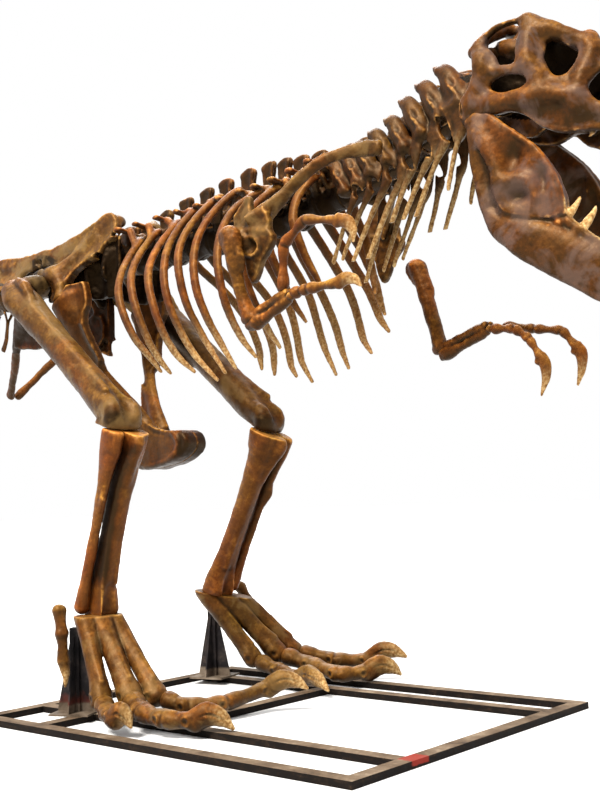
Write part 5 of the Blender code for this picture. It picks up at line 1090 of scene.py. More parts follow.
def humerus(s):
    F = field_of("humerus_" + NM[s], 0.0070, 0.05)
    h = [(p[0], s * p[1], p[2]) for p in ARM[s]["hu"]]
    g = 1.0 if s < 0 else 1.22
    F.rod(h, [(0.050, 0.058), (0.050, 0.056), (0.040 * g, 0.042 * g), (0.038 * g, 0.038 * g), (0.048, 0.050)], up=(0, 1, 0), k=0.012, n=5)
    a, b = vec(h[0]), vec(h[-1])
    d = unit(b - a)
    F.plate([(-0.085, -0.02), (-0.070, 0.040), (-0.010, 0.050), (0.055, 0.030), (0.066, -0.02), (0.040, -0.10), (-0.030, -0.10)], 0.030, a - vec((0, 0, 0.01)), (1, 0, 0), (0, 0, 1), k=0.03, r=0.022, smooth=2)
    # muscle crest on the front
    F.rod([mix(a, b, 0.10) + vec((0.035, s * 0.01, 0)), mix(a, b, 0.28) + vec((0.045, s * 0.012, 0)), mix(a, b, 0.42) + vec((0.025, 0, 0))], [0.020, 0.024, 0.012], k=0.03, n=2)
    for q in (-0.028, 0.030):
        F.ball(b + vec((q, 0, -0.012)), (0.034, 0.036, 0.034), k=0.015)
    F.rough(0.0028, 0.05, 93)
    F.rough(0.0014, 0.018, 94)
    return F


def forearm(s):
    A = ARM[s]
    F = field_of("forearm_" + NM[s], 0.0065, 0.05)
    e, w = vec((A["el"][0], s * A["el"][1], A["el"][2])), vec((A["wr"][0], s * A["wr"][1], A["wr"][2]))
    d = unit(w - e)
    up = unit(np.cross(d, (0, 1, 0)))
    if up[2] < 0:
        up = -up
    limb_bone(F, e - up * 0.018 - d * 0.01, w - up * 0.018 - d * 0.02, 0.046, 0.034, 0.027, -up * 0.008)
    limb_bone(F, e + up * 0.020 + d * 0.02, w + up * 0.016 - d * 0.02, 0.034, 0.033, 0.024, up * 0.010)
    F.ball(e - d * 0.045 - up * 0.012, (0.034, 0.030, 0.032), k=0.02)
    for i, (a, b, c) in enumerate(((0.0, 0.024, 0.0), (0.0, -0.022, 0.0), (0.028, 0.010, 0.012), (0.030, -0.016, -0.010))):
        F.ball(w + d * (a + 0.004) + up * b + vec((0, c, 0)), 0.024, k=0.006)
    F.rough(0.0024, 0.04, 95)
    F.rough(0.0013, 0.016, 96)
    return F


def finger(s, which):
    nm = "finger_%s_%s" % ("inner" if which == "fa" else "outer", NM[s])
    F = field_of(nm, 0.0060, 0.05)
    f = [vec((p[0], s * p[1], p[2])) for p in ARM[s][which]]
    r = 0.036 if s < 0 else 0.034
    for i in range(len(f) - 2):
        d = unit(f[i + 1] - f[i])
        rr = r * (1 - 0.06 * i)
        limb_bone(F, f[i] + d * rr * 0.35, f[i + 1] - d * rr * 0.35, rr, rr * 0.92, rr * 0.64, k=0.006)
    a, b = f[-2], f[-1]
    d = unit(b - a)
    bend = vec((0.034, 0, 0.022)) if which == "fa" or s > 0 else vec((0.01, 0, 0.030))
    F.rod([a - d * 0.005, mix(a, b, 0.30) + bend * 0.9, mix(a, b, 0.68) + bend * 0.9, b], [(0.028, 0.036), (0.026, 0.038), (0.018, 0.027), (0.006, 0.008)], k=0.006, n=5)
    F.ball(a + d * 0.012 - bend * 0.5, (0.022, 0.02, 0.018), k=0.015)
    F.rough(0.0022, 0.035, 97)
    return F


# ------------------------------------------------------------------ skull
SK0 = vec((2.94, 0, 3.40))
PITCH = math.radians(-17.0)
SX = vec((math.cos(PITCH), 0, math.sin(PITCH)))
SZ = vec((-math.sin(PITCH), 0, math.cos(PITCH)))


def sk(a, y, h):
    return SK0 + SX * a + SZ * h + vec((0, y, 0))


def ip(x, xs, ys):
    return np.interp(x, xs, ys).astype(F32)


WA = [-0.05, 0.1, 0.3, 0.45, 0.6, 0.8, 1.0, 1.2, 1.3, 1.36, 1.42]
WB = [0.285, 0.300, 0.305, 0.285, 0.248, 0.195, 0.170, 0.145, 0.112, 0.060, 0.02]
WT = [0.22, 0.225, 0.215, 0.190, 0.150, 0.105, 0.085, 0.07, 0.05, 0.02, 0.0]
RA = [0.0, 0.10, 0.22, 0.30, 0.40, 0.50, 0.60, 0.80, 1.0, 1.2, 1.3, 1.36]
RH = [0.505, 0.530, 0.530, 0.515, 0.480, 0.440, 0.400, 0.372, 0.360, 0.335, 0.28, 0.17]


def wall_y(a, h):
    base = ip(a, WA, WB)
    tw = ip(a, WA, WT)
    t = np.clip((h - 0.16) / (ip(a, RA, RH) - 0.16), 0, 1)
    low = np.clip((0.06 - h) / 0.14, 0, 1)
    return base - (base - tw) * t ** 1.6 - 0.022 * low


def wp(a, h, d=0.0, s=-1):
    """A point on the cheek's surface, d outwards."""
    y = float(wall_y(np.array([a], F32), np.array([h], F32))[0])
    return sk(a, s * (y + d), h)


def skull():
    F = field_of("skull", 0.00809, 0.05)
    low = [(-0.012, 0.03), (0.005, -0.045), (0.075, -0.060), (0.14, -0.025), (0.223, -0.014), (0.287, 0.003), (0.36, 0.002), (0.425, -0.025),
           (0.485, -0.056), (0.56, -0.070), (0.645, -0.066), (0.75, -0.040), (0.90, -0.020), (1.05, -0.035), (1.18, -0.035), (1.30, -0.015), (1.37, 0.02)]
    topl = [(1.385, 0.10), (1.36, 0.18), (1.30, 0.265), (1.20, 0.315), (1.0, 0.355), (0.80, 0.375), (0.65, 0.378), (0.55, 0.412), (0.45, 0.450), (0.36, 0.482),
            (0.26, 0.498), (0.16, 0.480), (0.07, 0.440), (0.01, 0.375), (-0.012, 0.315), (0.022, 0.255), (0.045, 0.205), (0.042, 0.13), (0.015, 0.07)]
    for s in (-1, 1):
        # side wall of the head: plane of a and h, pushed out to the cheek's curve
        n = unit(np.cross(SX, SZ))             # points to -y
        bend = lambda u, v, s=s: -s * wall_y(u, v)
        F.plate(low + topl, lambda u, v, e: 0.020 + 0.010 * np.exp(-(e / 0.02) ** 2), SK0, SX, SZ, k=0.010, r=0.014, smooth=2, bend=bend)
        holes = [
            ([(0.046, 0.338), (0.052, 0.372), (0.085, 0.418), (0.135, 0.452), (0.195, 0.472), (0.240, 0.474), (0.262, 0.430), (0.268, 0.370), (0.282, 0.305),
              (0.276, 0.255), (0.235, 0.238), (0.178, 0.240), (0.150, 0.272), (0.112, 0.305), (0.072, 0.322)], 0.004),
            ([(0.153, 0.121), (0.178, 0.158), (0.261, 0.190), (0.355, 0.194), (0.392, 0.160), (0.369, 0.122), (0.316, 0.087), (0.250, 0.074), (0.186, 0.100)], 0.004),
            ([(0.398, 0.375), (0.430, 0.408), (0.485, 0.400), (0.520, 0.372), (0.553, 0.384), (0.586, 0.352), (0.592, 0.305), (0.572, 0.252), (0.552, 0.212), (0.512, 0.200),
              (0.462, 0.228), (0.424, 0.280), (0.418, 0.325), (0.408, 0.352)], 0.004),
            ([(0.668, 0.150), (0.700, 0.225), (0.745, 0.275), (0.820, 0.285), (0.900, 0.245), (0.945, 0.180), (0.920, 0.115), (0.840, 0.080), (0.735, 0.085)], 0.004),
            ([(0.99, 0.12), (1.02, 0.165), (1.06, 0.16), (1.065, 0.12), (1.03, 0.10)], 0.003),
            ([(1.20, 0.19), (1.25, 0.225), (1.32, 0.20), (1.335, 0.15), (1.28, 0.14)], 0.003)]
        for poly, rr in holes:
            F.plate(poly, 0.065, SK0, SX, SZ, k=0.016, r=rr, cut=True, smooth=2, bend=bend)
        W = lambda a, h, d=0.0, s=s: wp(a, h, d, s)
        # squamosal and the bar behind the cheek window
        F.rod([W(0.005, 0.335, -0.01), W(0.035, 0.285, 0.006), W(0.075, 0.235, 0.014), W(0.085, 0.175, 0.008), W(0.075, 0.10, 0.004), W(0.05, 0.03, 0.0), W(0.045, -0.03, -0.01)],
              [0.036, 0.040, 0.046, 0.040, 0.038, 0.040, 0.046], k=0.045, n=4)
        F.rod([W(0.02, 0.04, -0.005), W(0.02, -0.02, -0.01), W(0.03, -0.06, -0.02)], [0.030, 0.040, 0.036], k=0.02, n=2)
        F.ball(W(0.015, -0.005, 0.034), (0.020, 0.016, 0.042), k=0.01, cut=True, X=SX, Z=SZ)
        # forward prong of the squamosal above the cheek window
        F.rod([W(0.07, 0.22, 0.01), W(0.16, 0.205, 0.010), W(0.27, 0.215, 0.008), W(0.35, 0.235, 0.004)], [0.030, 0.022, 0.022, 0.028], k=0.02, n=3)
        # bar between the upper opening and the eye
        F.rod([W(0.265, 0.475, 0.0), W(0.300, 0.41, 0.008), W(0.320, 0.34, 0.012), W(0.345, 0.27, 0.012), W(0.400, 0.205, 0.006), W(0.425, 0.14, 0.004), W(0.42, 0.08, 0.004)],
              [0.036, 0.044, 0.044, 0.044, 0.040, 0.034, 0.030], k=0.045, n=4)
        F.rod([W(0.255, 0.38, 0.004), W(0.275, 0.31, 0.010), W(0.33, 0.245, 0.012)], [0.012, 0.016, 0.012], k=0.015, n=2)
        # boss over the eye, brow ridge and the bar before the eye
        F.rod([W(0.27, 0.472, 0.0), W(0.34, 0.450, 0.010), W(0.41, 0.438, 0.014), W(0.50, 0.420, 0.014), W(0.58, 0.400, 0.010), W(0.64, 0.372, 0.004)],
              [0.034, 0.042, 0.042, 0.038, 0.038, 0.032], k=0.05, n=4)
        F.rod([W(0.60, 0.41, 0.006), W(0.632, 0.33, 0.010), W(0.640, 0.24, 0.010), W(0.640, 0.15, 0.008), W(0.645, 0.07, 0.002)], [0.044, 0.040, 0.038, 0.040, 0.040], k=0.045, n=4)
        # cheek bone: swollen band, with a second ridge arching over its lower flange
        F.rod([W(0.06, 0.02, 0.0), W(0.16, 0.030, 0.006), W(0.27, 0.045, 0.008), W(0.38, 0.075, 0.012), W(0.50, 0.105, 0.012), W(0.62, 0.105, 0.006), W(0.74, 0.060, 0.002), W(0.90, 0.035, 0.0)],
              [0.040, 0.038, 0.040, 0.050, 0.054, 0.048, 0.034, 0.026], k=0.045, n=4)
        # tooth margin
        F.rod([W(0.72, -0.025, 0.0), W(0.90, -0.010, 0.002), W(1.08, -0.022, 0.0), W(1.22, -0.02, -0.002), W(1.33, 0.01, -0.004)], [0.020, 0.026, 0.028, 0.026, 0.022], k=0.02, n=2)
        # pterygoid and palate wings seen from below
        fl = [(-0.01, 0.12), (0.03, 0.04), (0.12, -0.025), (0.20, -0.080), (0.29, -0.098), (0.38, -0.085), (0.45, -0.03), (0.54, 0.03), (0.50, 0.09), (0.30, 0.12), (0.1, 0.15)]
        F.plate(fl, lambda u, v, e: 0.014 + 0.008 * np.exp(-(e / 0.02) ** 2), SK0, SX, SZ, k=0.015, r=0.008, smooth=2,
                bend=lambda u, v, s=s: -s * (0.085 + 0.10 * np.clip((u - 0.25) / 0.3, -0.6, 1) ** 2))
        F.rod([sk(0.03, s * 0.24, 0.10), sk(0.10, s * 0.17, 0.08), sk(0.22, s * 0.10, 0.06)], [0.030, 0.026, 0.022], k=0.02, n=2)
        F.rod([sk(0.46, s * 0.09, 0.00), sk(0.50, s * 0.17, 0.02), sk(0.52, s * 0.25, 0.04)], [0.028, 0.022, 0.026], k=0.02, n=2)
        # wing of the palate behind the cheek window
        F.plate([(-0.01, 0.22), (0.06, 0.26), (0.20, 0.24), (0.32, 0.18), (0.30, 0.08), (0.18, 0.00), (0.05, 0.00), (-0.01, 0.08)],
                lambda u, v, e: 0.012 + 0.010 * np.exp(-(e / 0.015) ** 2), SK0, SX, SZ, k=0.015, r=0.008, smooth=2, bend=lambda u, v, s=s: -s * (0.165 - 0.20 * u))
        # paroccipital wing behind
        F.rod([sk(0.02, s * 0.05, 0.33), sk(-0.005, s * 0.15, 0.32), sk(-0.01, s * 0.235, 0.285)], [(0.030, 0.045), (0.026, 0.042), (0.024, 0.050)], up=SZ, k=0.02, n=2)
        # teeth
        for i in range(11):
            t = i / 10
            a = 0.74 + 0.60 * t
            ln = (0.060, 0.085, 0.110, 0.135, 0.150, 0.150, 0.135, 0.115, 0.095, 0.085, 0.065)[i]
            b = wp(a, -0.015 if a < 1.2 else 0.0, -0.012, s)
            F.rod([b + SZ * 0.02, b - SZ * ln * 0.45 + SX * 0.004, b - SZ * ln * 0.82 - SX * 0.006, b - SZ * ln - SX * 0.016],
                  [(0.018, 0.022), (0.016, 0.020), (0.009, 0.011), (0.003, 0.003)], up=SX, k=0.006, n=3)
    # arch at the back of the skull and the keel that runs forward from it
    F.rod([sk(-0.015, -0.275, 0.300), sk(-0.012, -0.235, 0.345), sk(-0.008, -0.18, 0.402), sk(-0.006, -0.10, 0.455), sk(0.0, 0, 0.490), sk(-0.006, 0.10, 0.455),
           sk(-0.008, 0.18, 0.402), sk(-0.012, 0.235, 0.345), sk(-0.015, 0.275, 0.300)],
          [(0.030, 0.032), (0.032, 0.034), (0.034, 0.036), (0.036, 0.038), (0.040, 0.040), (0.036, 0.038), (0.034, 0.036), (0.032, 0.034), (0.030, 0.032)], up=SZ, k=0.015, n=4)
    half = [(-0.02, 0.045), (0.08, 0.032), (0.18, 0.040), (0.235, 0.095), (0.255, 0.205), (0.36, 0.205), (0.50, 0.190), (0.62, 0.150), (0.80, 0.118), (1.0, 0.100),
            (1.2, 0.082), (1.31, 0.064), (1.365, 0.045)]
    roof = [(a, -y) for a, y in half] + [(a, y) for a, y in half[::-1]]
    F.plate(roof, 0.024, SK0, SX, (0, 1, 0), k=0.025, r=0.018, smooth=2,
            bend=lambda u, v: ip(u, RA, RH) - 0.030 - 0.9 * np.clip(np.abs(v) - 0.05, 0, 1) ** 2)
    F.rod([sk(1.33, 0, 0.22), sk(1.365, 0, 0.12), sk(1.365, 0, 0.02)], [(0.055, 0.030), (0.058, 0.030), (0.05, 0.03)], up=SX, k=0.03, n=2)
    for s in (-1, 1):
        F.rod([sk(0.66, s * 0.10, 0.40), sk(0.85, s * 0.085, 0.375), sk(1.05, s * 0.07, 0.35), sk(1.22, s * 0.055, 0.30)], [0.014, 0.016, 0.014, 0.010], k=0.02, n=2)
    # braincase
    F.ball(sk(0.10, 0, 0.34), (0.13, 0.085, 0.095), k=0.03, X=SX, Z=SZ)
    F.ball(sk(0.26, 0, 0.38), (0.12, 0.07, 0.10), k=0.04, X=SX, Z=SZ)
    F.plate([(0.07, 0.20), (0.07, 0.44), (0.20, 0.50), (0.36, 0.48), (0.52, 0.43), (0.66, 0.37), (0.69, 0.24), (0.60, 0.13), (0.45, 0.07), (0.20, 0.06), (0.10, 0.10)],
            0.040, SK0, SX, SZ, k=0.03, r=0.02, smooth=2)
    F.ball(sk(0.060, -0.085, 0.375), (0.066, 0.045, 0.046), k=0.02, X=SX, Z=SZ)
    F.ball(sk(0.13, -0.02, 0.36), (0.12, 0.12, 0.085), k=0.03, X=SX, Z=SZ)
    F.rod([sk(0.10, 0, 0.42), sk(0.14, 0, 0.54)], [0.045, 0.035], k=0.03, n=1)
    F.rod([sk(0.40, 0, 0.40), sk(0.5, 0, 0.44)], [0.06, 0.06], k=0.04, n=1)
    F.rod([sk(0.02, 0, 0.27), sk(-0.05, 0, 0.255)], [0.045, 0.042], k=0.02, n=1)
    F.rod([sk(0.02, 0, 0.24), sk(0.10, 0, 0.16), sk(0.25, 0, 0.20), sk(0.5, 0, 0.20)], [0.05, 0.045, 0.030, 0.015], k=0.03, n=2)
    F.plate([(0.52, 0.06), (0.9, 0.05), (1.25, 0.03), (1.33, 0.06), (1.0, 0.09), (0.6, 0.10)], 0.016, SK0, SX, SZ, k=0.02, r=0.008)
    F.rod([sk(0.48, 0, 0.06), sk(0.70, 0, 0.07), sk(1.0, 0, 0.06), sk(1.28, 0, 0.04)], [(0.20, 0.012), (0.155, 0.013), (0.13, 0.014), (0.09, 0.014)], up=SZ, k=0.02, n=3)
    F.rough(0.0036, 0.085, 101)
    F.rough(0.0019, 0.035, 102)
    F.rough(0.0010, 0.015, 103)
    return F


# ------------------------------------------------------------------ lower jaw
JX = [2.90, 3.20, 3.45, 3.60, 3.76, 3.88, 3.94, 3.99]
JY = [0.290, 0.283, 0.245, 0.212, 0.152, 0.092, 0.058, 0.03]


def jp(x, z, d=0.0, s=-1):
    return vec((x, s * (float(np.interp(x, JX, JY)) + d), z))


HOLLOW = [(3.235, 3.075, 0.066, 0.078, 0.052), (3.255, 2.860, 0.066, 0.038, 0.034), (3.390, 2.935, 0.034, 0.066, 0.026)]


def dent(u, v):
    """Depth of the smooth hollows in the side of the lower jaw."""
    return sum(a * np.exp(-((u - x) / w) ** 2 - ((v - z) / h) ** 2) for x, z, w, h, a in HOLLOW)


def jaw(s):
    F = field_of("jaw_" + NM[s], 0.0068, 0.05)
    out = [(2.978, 3.32), (2.984, 3.165), (2.997, 3.054), (3.020, 2.941), (3.042, 2.831), (3.082, 2.716), (3.125, 2.656), (3.19, 2.600), (3.33, 2.488),
           (3.49, 2.372), (3.64, 2.265), (3.80, 2.172), (3.92, 2.140), (3.975, 2.19), (3.965, 2.27), (3.90, 2.345), (3.78, 2.445), (3.66, 2.540), (3.56, 2.630),
           (3.505, 2.725), (3.494, 2.826), (3.475, 2.885), (3.445, 2.964), (3.404, 3.035), (3.351, 3.112), (3.279, 3.181), (3.211, 3.240), (3.136, 3.304),
           (3.085, 3.335), (3.034, 3.350)]
    n = unit(np.cross((1, 0, 0), (0, 0, 1)))   # -y
    bend = lambda u, v: -s * ip(u, JX, JY)
    F.plate(out, lambda u, v, e: 0.028 + 0.004 * np.exp(-(e / 0.025) ** 2), (0, 0, 0), (1, 0, 0), (0, 0, 1), k=0.01, r=0.022, smooth=2, bend=lambda u, v: -s * (ip(u, JX, JY) - 0.008 - dent(u, v)))
    # upper plate of the jaw, standing proud with an overhanging lower lip
    up = [(3.035, 3.325), (3.09, 3.315), (3.14, 3.285), (3.21, 3.222), (3.28, 3.160), (3.35, 3.090), (3.40, 3.015), (3.44, 2.945), (3.47, 2.865), (3.485, 2.790),
          (3.480, 2.735), (3.420, 2.722), (3.345, 2.732), (3.260, 2.758), (3.180, 2.790), (3.150, 2.850), (3.140, 2.930), (3.128, 3.010), (3.090, 3.090),
          (3.050, 3.170), (3.030, 3.250)]
    F.plate(up, 0.013, (0, 0, 0), (1, 0, 0), (0, 0, 1), k=0.012, r=0.012, smooth=2, bend=lambda u, v: -s * (ip(u, JX, JY) + 0.028 - dent(u, v)))
    # rolled rims and ridges
    F.rod([jp(x, z, 0.022, s) for x, z in ((3.03, 3.33), (3.09, 3.325), (3.14, 3.292), (3.21, 3.228), (3.28, 3.168), (3.35, 3.098), (3.402, 3.022), (3.443, 2.95), (3.472, 2.875), (3.487, 2.80), (3.488, 2.74))],
          [0.016, 0.017, 0.016, 0.016, 0.016, 0.016, 0.016, 0.015, 0.015, 0.014, 0.013], k=0.012, n=3)
    F.rod([jp(x, z, d, s) for x, z, d in ((3.015, 3.30, 0.005), (3.045, 3.22, 0.012), (3.095, 3.135, 0.018), (3.135, 3.050, 0.020), (3.150, 2.965, 0.018), (3.158, 2.87, 0.012), (3.165, 2.80, 0.008))],
          [0.040, 0.046, 0.044, 0.040, 0.038, 0.034, 0.026], k=0.045, n=4)
    F.rod([jp(x, z, 0.028, s) for x, z in ((3.150, 2.962), (3.205, 2.950), (3.250, 2.952), (3.295, 2.940), (3.335, 2.900), (3.355, 2.845))],
          [0.028, 0.030, 0.030, 0.028, 0.026, 0.016], k=0.04, n=4)
    # deep groove along the back edge, below the ridge
    F.rod([jp(x, z, 0.046, s) for x, z in ((3.045, 3.13), (3.062, 3.02), (3.072, 2.92), (3.098, 2.838), (3.160, 2.770), (3.25, 2.735), (3.36, 2.712), (3.45, 2.700))],
          [0.012, 0.026, 0.032, 0.030, 0.020, 0.014, 0.012, 0.006], k=0.025, n=4, cut=True)
    # rounded lower body
    F.rod([jp(3.11, 2.785, -0.010, s), jp(3.185, 2.700, 0.004, s), jp(3.29, 2.625, 0.018, s), jp(3.44, 2.545, 0.018, s), jp(3.58, 2.455, 0.012, s), jp(3.72, 2.370, 0.008, s), jp(3.84, 2.295, 0.006, s), jp(3.93, 2.235, 0.0, s)],
          [(0.020, 0.030), (0.030, 0.068), (0.038, 0.098), (0.040, 0.108), (0.038, 0.104), (0.038, 0.094), (0.036, 0.086), (0.032, 0.078)], up=(0.55, 0, 0.83), k=0.045, n=6)
    F.rod([jp(3.50, 2.695, 0.006, s), jp(3.60, 2.600, 0.010, s), jp(3.72, 2.500, 0.008, s), jp(3.84, 2.405, 0.004, s), jp(3.94, 2.315, 0.0, s)], [0.022, 0.026, 0.026, 0.026, 0.022], k=0.02, n=2)
    # jaw joint and the back prong
    F.rod([jp(2.99, 3.31, 0.0, s), jp(3.03, 3.325, 0.0, s)], [0.040, 0.035], k=0.02, n=1)
    F.rod([jp(2.995, 3.24, -0.008, s), jp(3.008, 3.10, -0.008, s), jp(3.032, 2.95, -0.008, s), jp(3.058, 2.83, -0.008, s), jp(3.105, 2.73, -0.004, s), jp(3.16, 2.67, 0.0, s)],
          [0.030, 0.030, 0.030, 0.032, 0.034, 0.030], k=0.04, n=4)
    # inner side: hollow for the muscles
    F.rod([jp(3.20, 2.80, -0.035, s), jp(3.45, 2.60, -0.035, s), jp(3.70, 2.45, -0.035, s)], [0.018, 0.022, 0.016], k=0.02, n=2, cut=True)
    teeth = [(3.462, 2.700, 3.570, 2.812), (3.535, 2.625, 3.640, 2.748), (3.640, 2.535, 3.712, 2.672), (3.710, 2.478, 3.780, 2.610), (3.775, 2.422, 3.845, 2.545), (3.835, 2.372, 3.903, 2.482),
             (3.888, 2.330, 3.950, 2.425), (3.932, 2.290, 3.975, 2.362)]
    for x0, z0, x1, z1 in teeth:
        b, t = jp(x0, z0, -0.004, s), jp(x1, z1, -0.004, s)
        d = t - b
        side = vec((-d[2], 0, d[0])) / np.linalg.norm(d)
        r = 0.026 if x0 < 3.8 else 0.019
        F.rod([b - d * 0.25, b + d * 0.20 + side * -0.004, b + d * 0.62 + side * -0.002, b + d * 0.86 + side * 0.004, t + side * 0.012],
              [(r * 0.8, r), (r * 0.78, r), (r * 0.55, r * 0.68), (r * 0.33, r * 0.40), (0.003, 0.003)], up=side, k=0.006, n=3)
        F.ball(b - d * 0.05 + vec((0, s * 0.02, 0)), (0.020, 0.018, 0.026), k=0.02)
    F.rough(0.0028, 0.10, 111)
    F.rough(0.0013, 0.035, 112)
    F.rough(0.0008, 0.016, 113)
    F.halfspace((0, s * 0.003, 0), (0, -s, 0))
    return F



# ------------------------------------------------------------------ materials
def ramp(nt, stops, interp="LINEAR"):
    r = nt.nodes.new("ShaderNodeValToRGB")
    r.color_ramp.interpolation = interp
    el = r.color_ramp.elements
    while len(el) > 1:
        el.remove(el[0])
    el[0].position, el[0].color = stops[0][0], tuple(stops[0][1]) + (1,)
    for p, c in stops[1:]:
        e = el.new(p)
        e.color = tuple(c) + (1,)
    return r


class Mat:
    """Small helper that wires up one node material."""

    def __init__(self, name):
        self.m = bpy.data.materials.new(name)
        self.m.use_nodes = True
        self.nt = self.m.node_tree
        self.nt.nodes.clear()
        self.out = self.nt.nodes.new("ShaderNodeOutputMaterial")
        self.b = self.nt.nodes.new("ShaderNodeBsdfPrincipled")
        self.nt.links.new(self.b.outputs[0], self.out.inputs[0])
        self.co = self.nt.nodes.new("ShaderNodeTexCoord").outputs["Object"]

    def link(self, a, b):
        self.nt.links.new(a, b)

    def noise(self, scale, detail=4.0, rough=0.55, dist=0.0, stretch=None, w=0.0):
        n = self.nt.nodes.new("ShaderNodeTexNoise")
        n.inputs["Scale"].default_value = scale
        n.inputs["Detail"].default_value = detail
        n.inputs["Roughness"].default_value = rough
        n.inputs["Distortion"].default_value = dist
        mp = self.nt.nodes.new("ShaderNodeMapping")
        mp.inputs["Location"].default_value = (w, w * 1.7, -w * 0.6)
        if stretch:
            mp.inputs["Scale"].default_value = stretch
        self.link(self.co, mp.inputs["Vector"])
        self.link(mp.outputs[0], n.inputs["Vector"])
        return n.outputs["Fac"]

    def attr(self, name):
        a = self.nt.nodes.new("ShaderNodeAttribute")
        a.attribute_name = name
        return a.outputs["Fac"]

    def math(self, op, a, b=None, c=None, clamp=False):
        n = self.nt.nodes.new("ShaderNodeMath")
        n.operation = op
        n.use_clamp = clamp
        for i, v in enumerate((a, b, c)):
            if v is None:
                continue
            if isinstance(v, (int, float)):
                n.inputs[i].default_value = v
            else:
                self.link(v, n.inputs[i])
        return n.outputs[0]

    def span(self, v, a, b, c=0.0, d=1.0):
        n = self.nt.nodes.new("ShaderNodeMapRange")
        n.clamp = True
        for k, x in zip(("From Min", "From Max", "To Min", "To Max"), (a, b, c, d)):
            n.inputs[k].default_value = x
        self.link(v, n.inputs["Value"])
        return n.outputs[0]

    def mix(self, f, a, b, mode="MIX"):
        n = self.nt.nodes.new("ShaderNodeMix")
        n.data_type = "RGBA"
        n.blend_type = mode
        for sock, v in ((n.inputs[0], f), (n.inputs[6], a), (n.inputs[7], b)):
            if isinstance(v, (int, float)):
                sock.default_value = v
            elif isinstance(v, tuple):
                sock.default_value = v + (1,)
            else:
                self.link(v, sock)
        return n.outputs[2]

    def bump(self, h, dist, strength=1.0, n=None):
        b = self.nt.nodes.new("ShaderNodeBump")
        b.inputs["Distance"].default_value = dist
        b.inputs["Strength"].default_value = strength
        self.link(h, b.inputs["Height"])
        if n is not None:
            self.link(n, b.inputs["Normal"])
        return b.outputs[0]


def bone_mat(name, stops, seed=0.0, lift=0.0, patch=None, patch_amt=0.0, patch_scale=3.0, rough=(0.36, 0.58), gold=0.62, tint=None, streak=(1, 1, 1), spec=0.30, inner=0.0):
    """Varnished bronze-brown bone: umber painted shade in the hollows and creases, orange brown on the faces, gold
    along worn edges; painted highlight on faces turned up, painted shade on faces turned down.
    """
    M = Mat(name)
    E, G = M.attr("edge"), M.attr("form")
    n1 = M.noise(2.3, 3, 0.5, w=seed)
    n2 = M.noise(11, 6, 0.62, 0.4, stretch=streak, w=seed + 3)
    n3 = M.noise(55, 5, 0.65, 0.2, w=seed + 7)
    n4 = M.noise(230, 3, 0.6, w=seed + 9)
    v = M.math("MULTIPLY", M.span(E, 0.52, 0.74), 0.36)
    # painted shade: darker in fine creases and in broad hollows, a little lighter on broad bulges
    v = M.math("MULTIPLY_ADD", M.span(E, 0.48, 0.24), -0.40, v)
    v = M.math("MULTIPLY_ADD", M.span(G, 0.49, 0.28), -0.36, v)
    v = M.math("MULTIPLY_ADD", M.span(G, 0.52, 0.85), 0.07, v)
    v = M.math("MULTIPLY_ADD", M.math("SUBTRACT", n2, 0.5), 0.62, v)
    v = M.math("MULTIPLY_ADD", M.math("SUBTRACT", n3, 0.5), 0.40, v)
    v = M.math("MULTIPLY_ADD", M.math("SUBTRACT", n1, 0.5), 0.30, v)
    gn = M.nt.nodes.new("ShaderNodeNewGeometry")
    sz = M.nt.nodes.new("ShaderNodeSeparateXYZ")
    M.link(gn.outputs["Normal"], sz.inputs[0])
    v = M.math("MULTIPLY_ADD", M.span(sz.outputs["Z"], 0.05, 0.90), 0.20, v)       # painted highlight on faces turned up
    v = M.math("MULTIPLY_ADD", M.span(sz.outputs["Z"], 0.10, -0.80), -0.34, v)    # painted shade on faces turned down
    # painted shade on faces turned towards the midline, inside the head and jaw
    if inner:
        v = M.math("MULTIPLY_ADD", M.span(M.attr("inner"), 0.05, 0.55), -inner, v)
    v = M.math("MULTIPLY_ADD", M.attr("shade"), -0.62, v)                        # painted shade in hollows and gaps, from the shade layer
    v = M.math("ADD", v, lift + 0.46, clamp=True)
    r = ramp(M.nt, stops)
    M.link(v, r.inputs[0])
    col = r.outputs[0]
    # large areas drift between olive and red brown
    tr = ramp(M.nt, tint or [(0.34, (0.92, 1.04, 0.86)), (0.50, (1.0, 0.98, 0.95)), (0.64, (1.12, 0.88, 0.74))])
    M.link(M.noise(3.1, 3, 0.5, 0.6, w=seed + 21), tr.inputs[0])
    col = M.mix(1.0, col, tr.outputs[0], "MULTIPLY")
    # patches of a second colour on flatter faces: a tan tone on limbs, hips, shoulders and feet; on the skull and jaw a
    # painted mauve sheen
    if patch:
        pm = M.span(M.noise(patch_scale, 4, 0.6, 0.5, w=seed + 31), 0.50, 0.60, 0.0, patch_amt)
        pm = M.math("MULTIPLY", pm, M.span(G, 0.30, 0.46))
        col = M.mix(pm, col, patch)
    # rubbed gold on the sharpest edges and tips, broken up by noise
    gm = M.math("MULTIPLY", M.span(E, 0.60, 0.80), M.span(n3, 0.34, 0.56))
    col = M.mix(M.math("MULTIPLY", gm, gold), col, (0.50, 0.26, 0.085))
    # painted shade, near black, in the deepest creases
    dm = M.math("MULTIPLY", M.span(E, 0.40, 0.16), 0.7)
    col = M.mix(dm, col, (0.005, 0.0025, 0.0015))
    M.link(col, M.b.inputs["Base Color"])
    M.link(M.span(n3, 0.3, 0.7, rough[0], rough[1]), M.b.inputs["Roughness"])
    M.b.inputs["Specular IOR Level"].default_value = spec
    M.b.inputs["Specular Tint"].default_value = (1.0, 0.60, 0.27, 1)
    nb = M.bump(n2, 0.0030, 0.8)
    nb = M.bump(n3, 0.0014, 0.8, nb)
    nb = M.bump(n4, 0.0005, 0.7, nb)
    M.link(nb, M.b.inputs["Normal"])
    return M.m


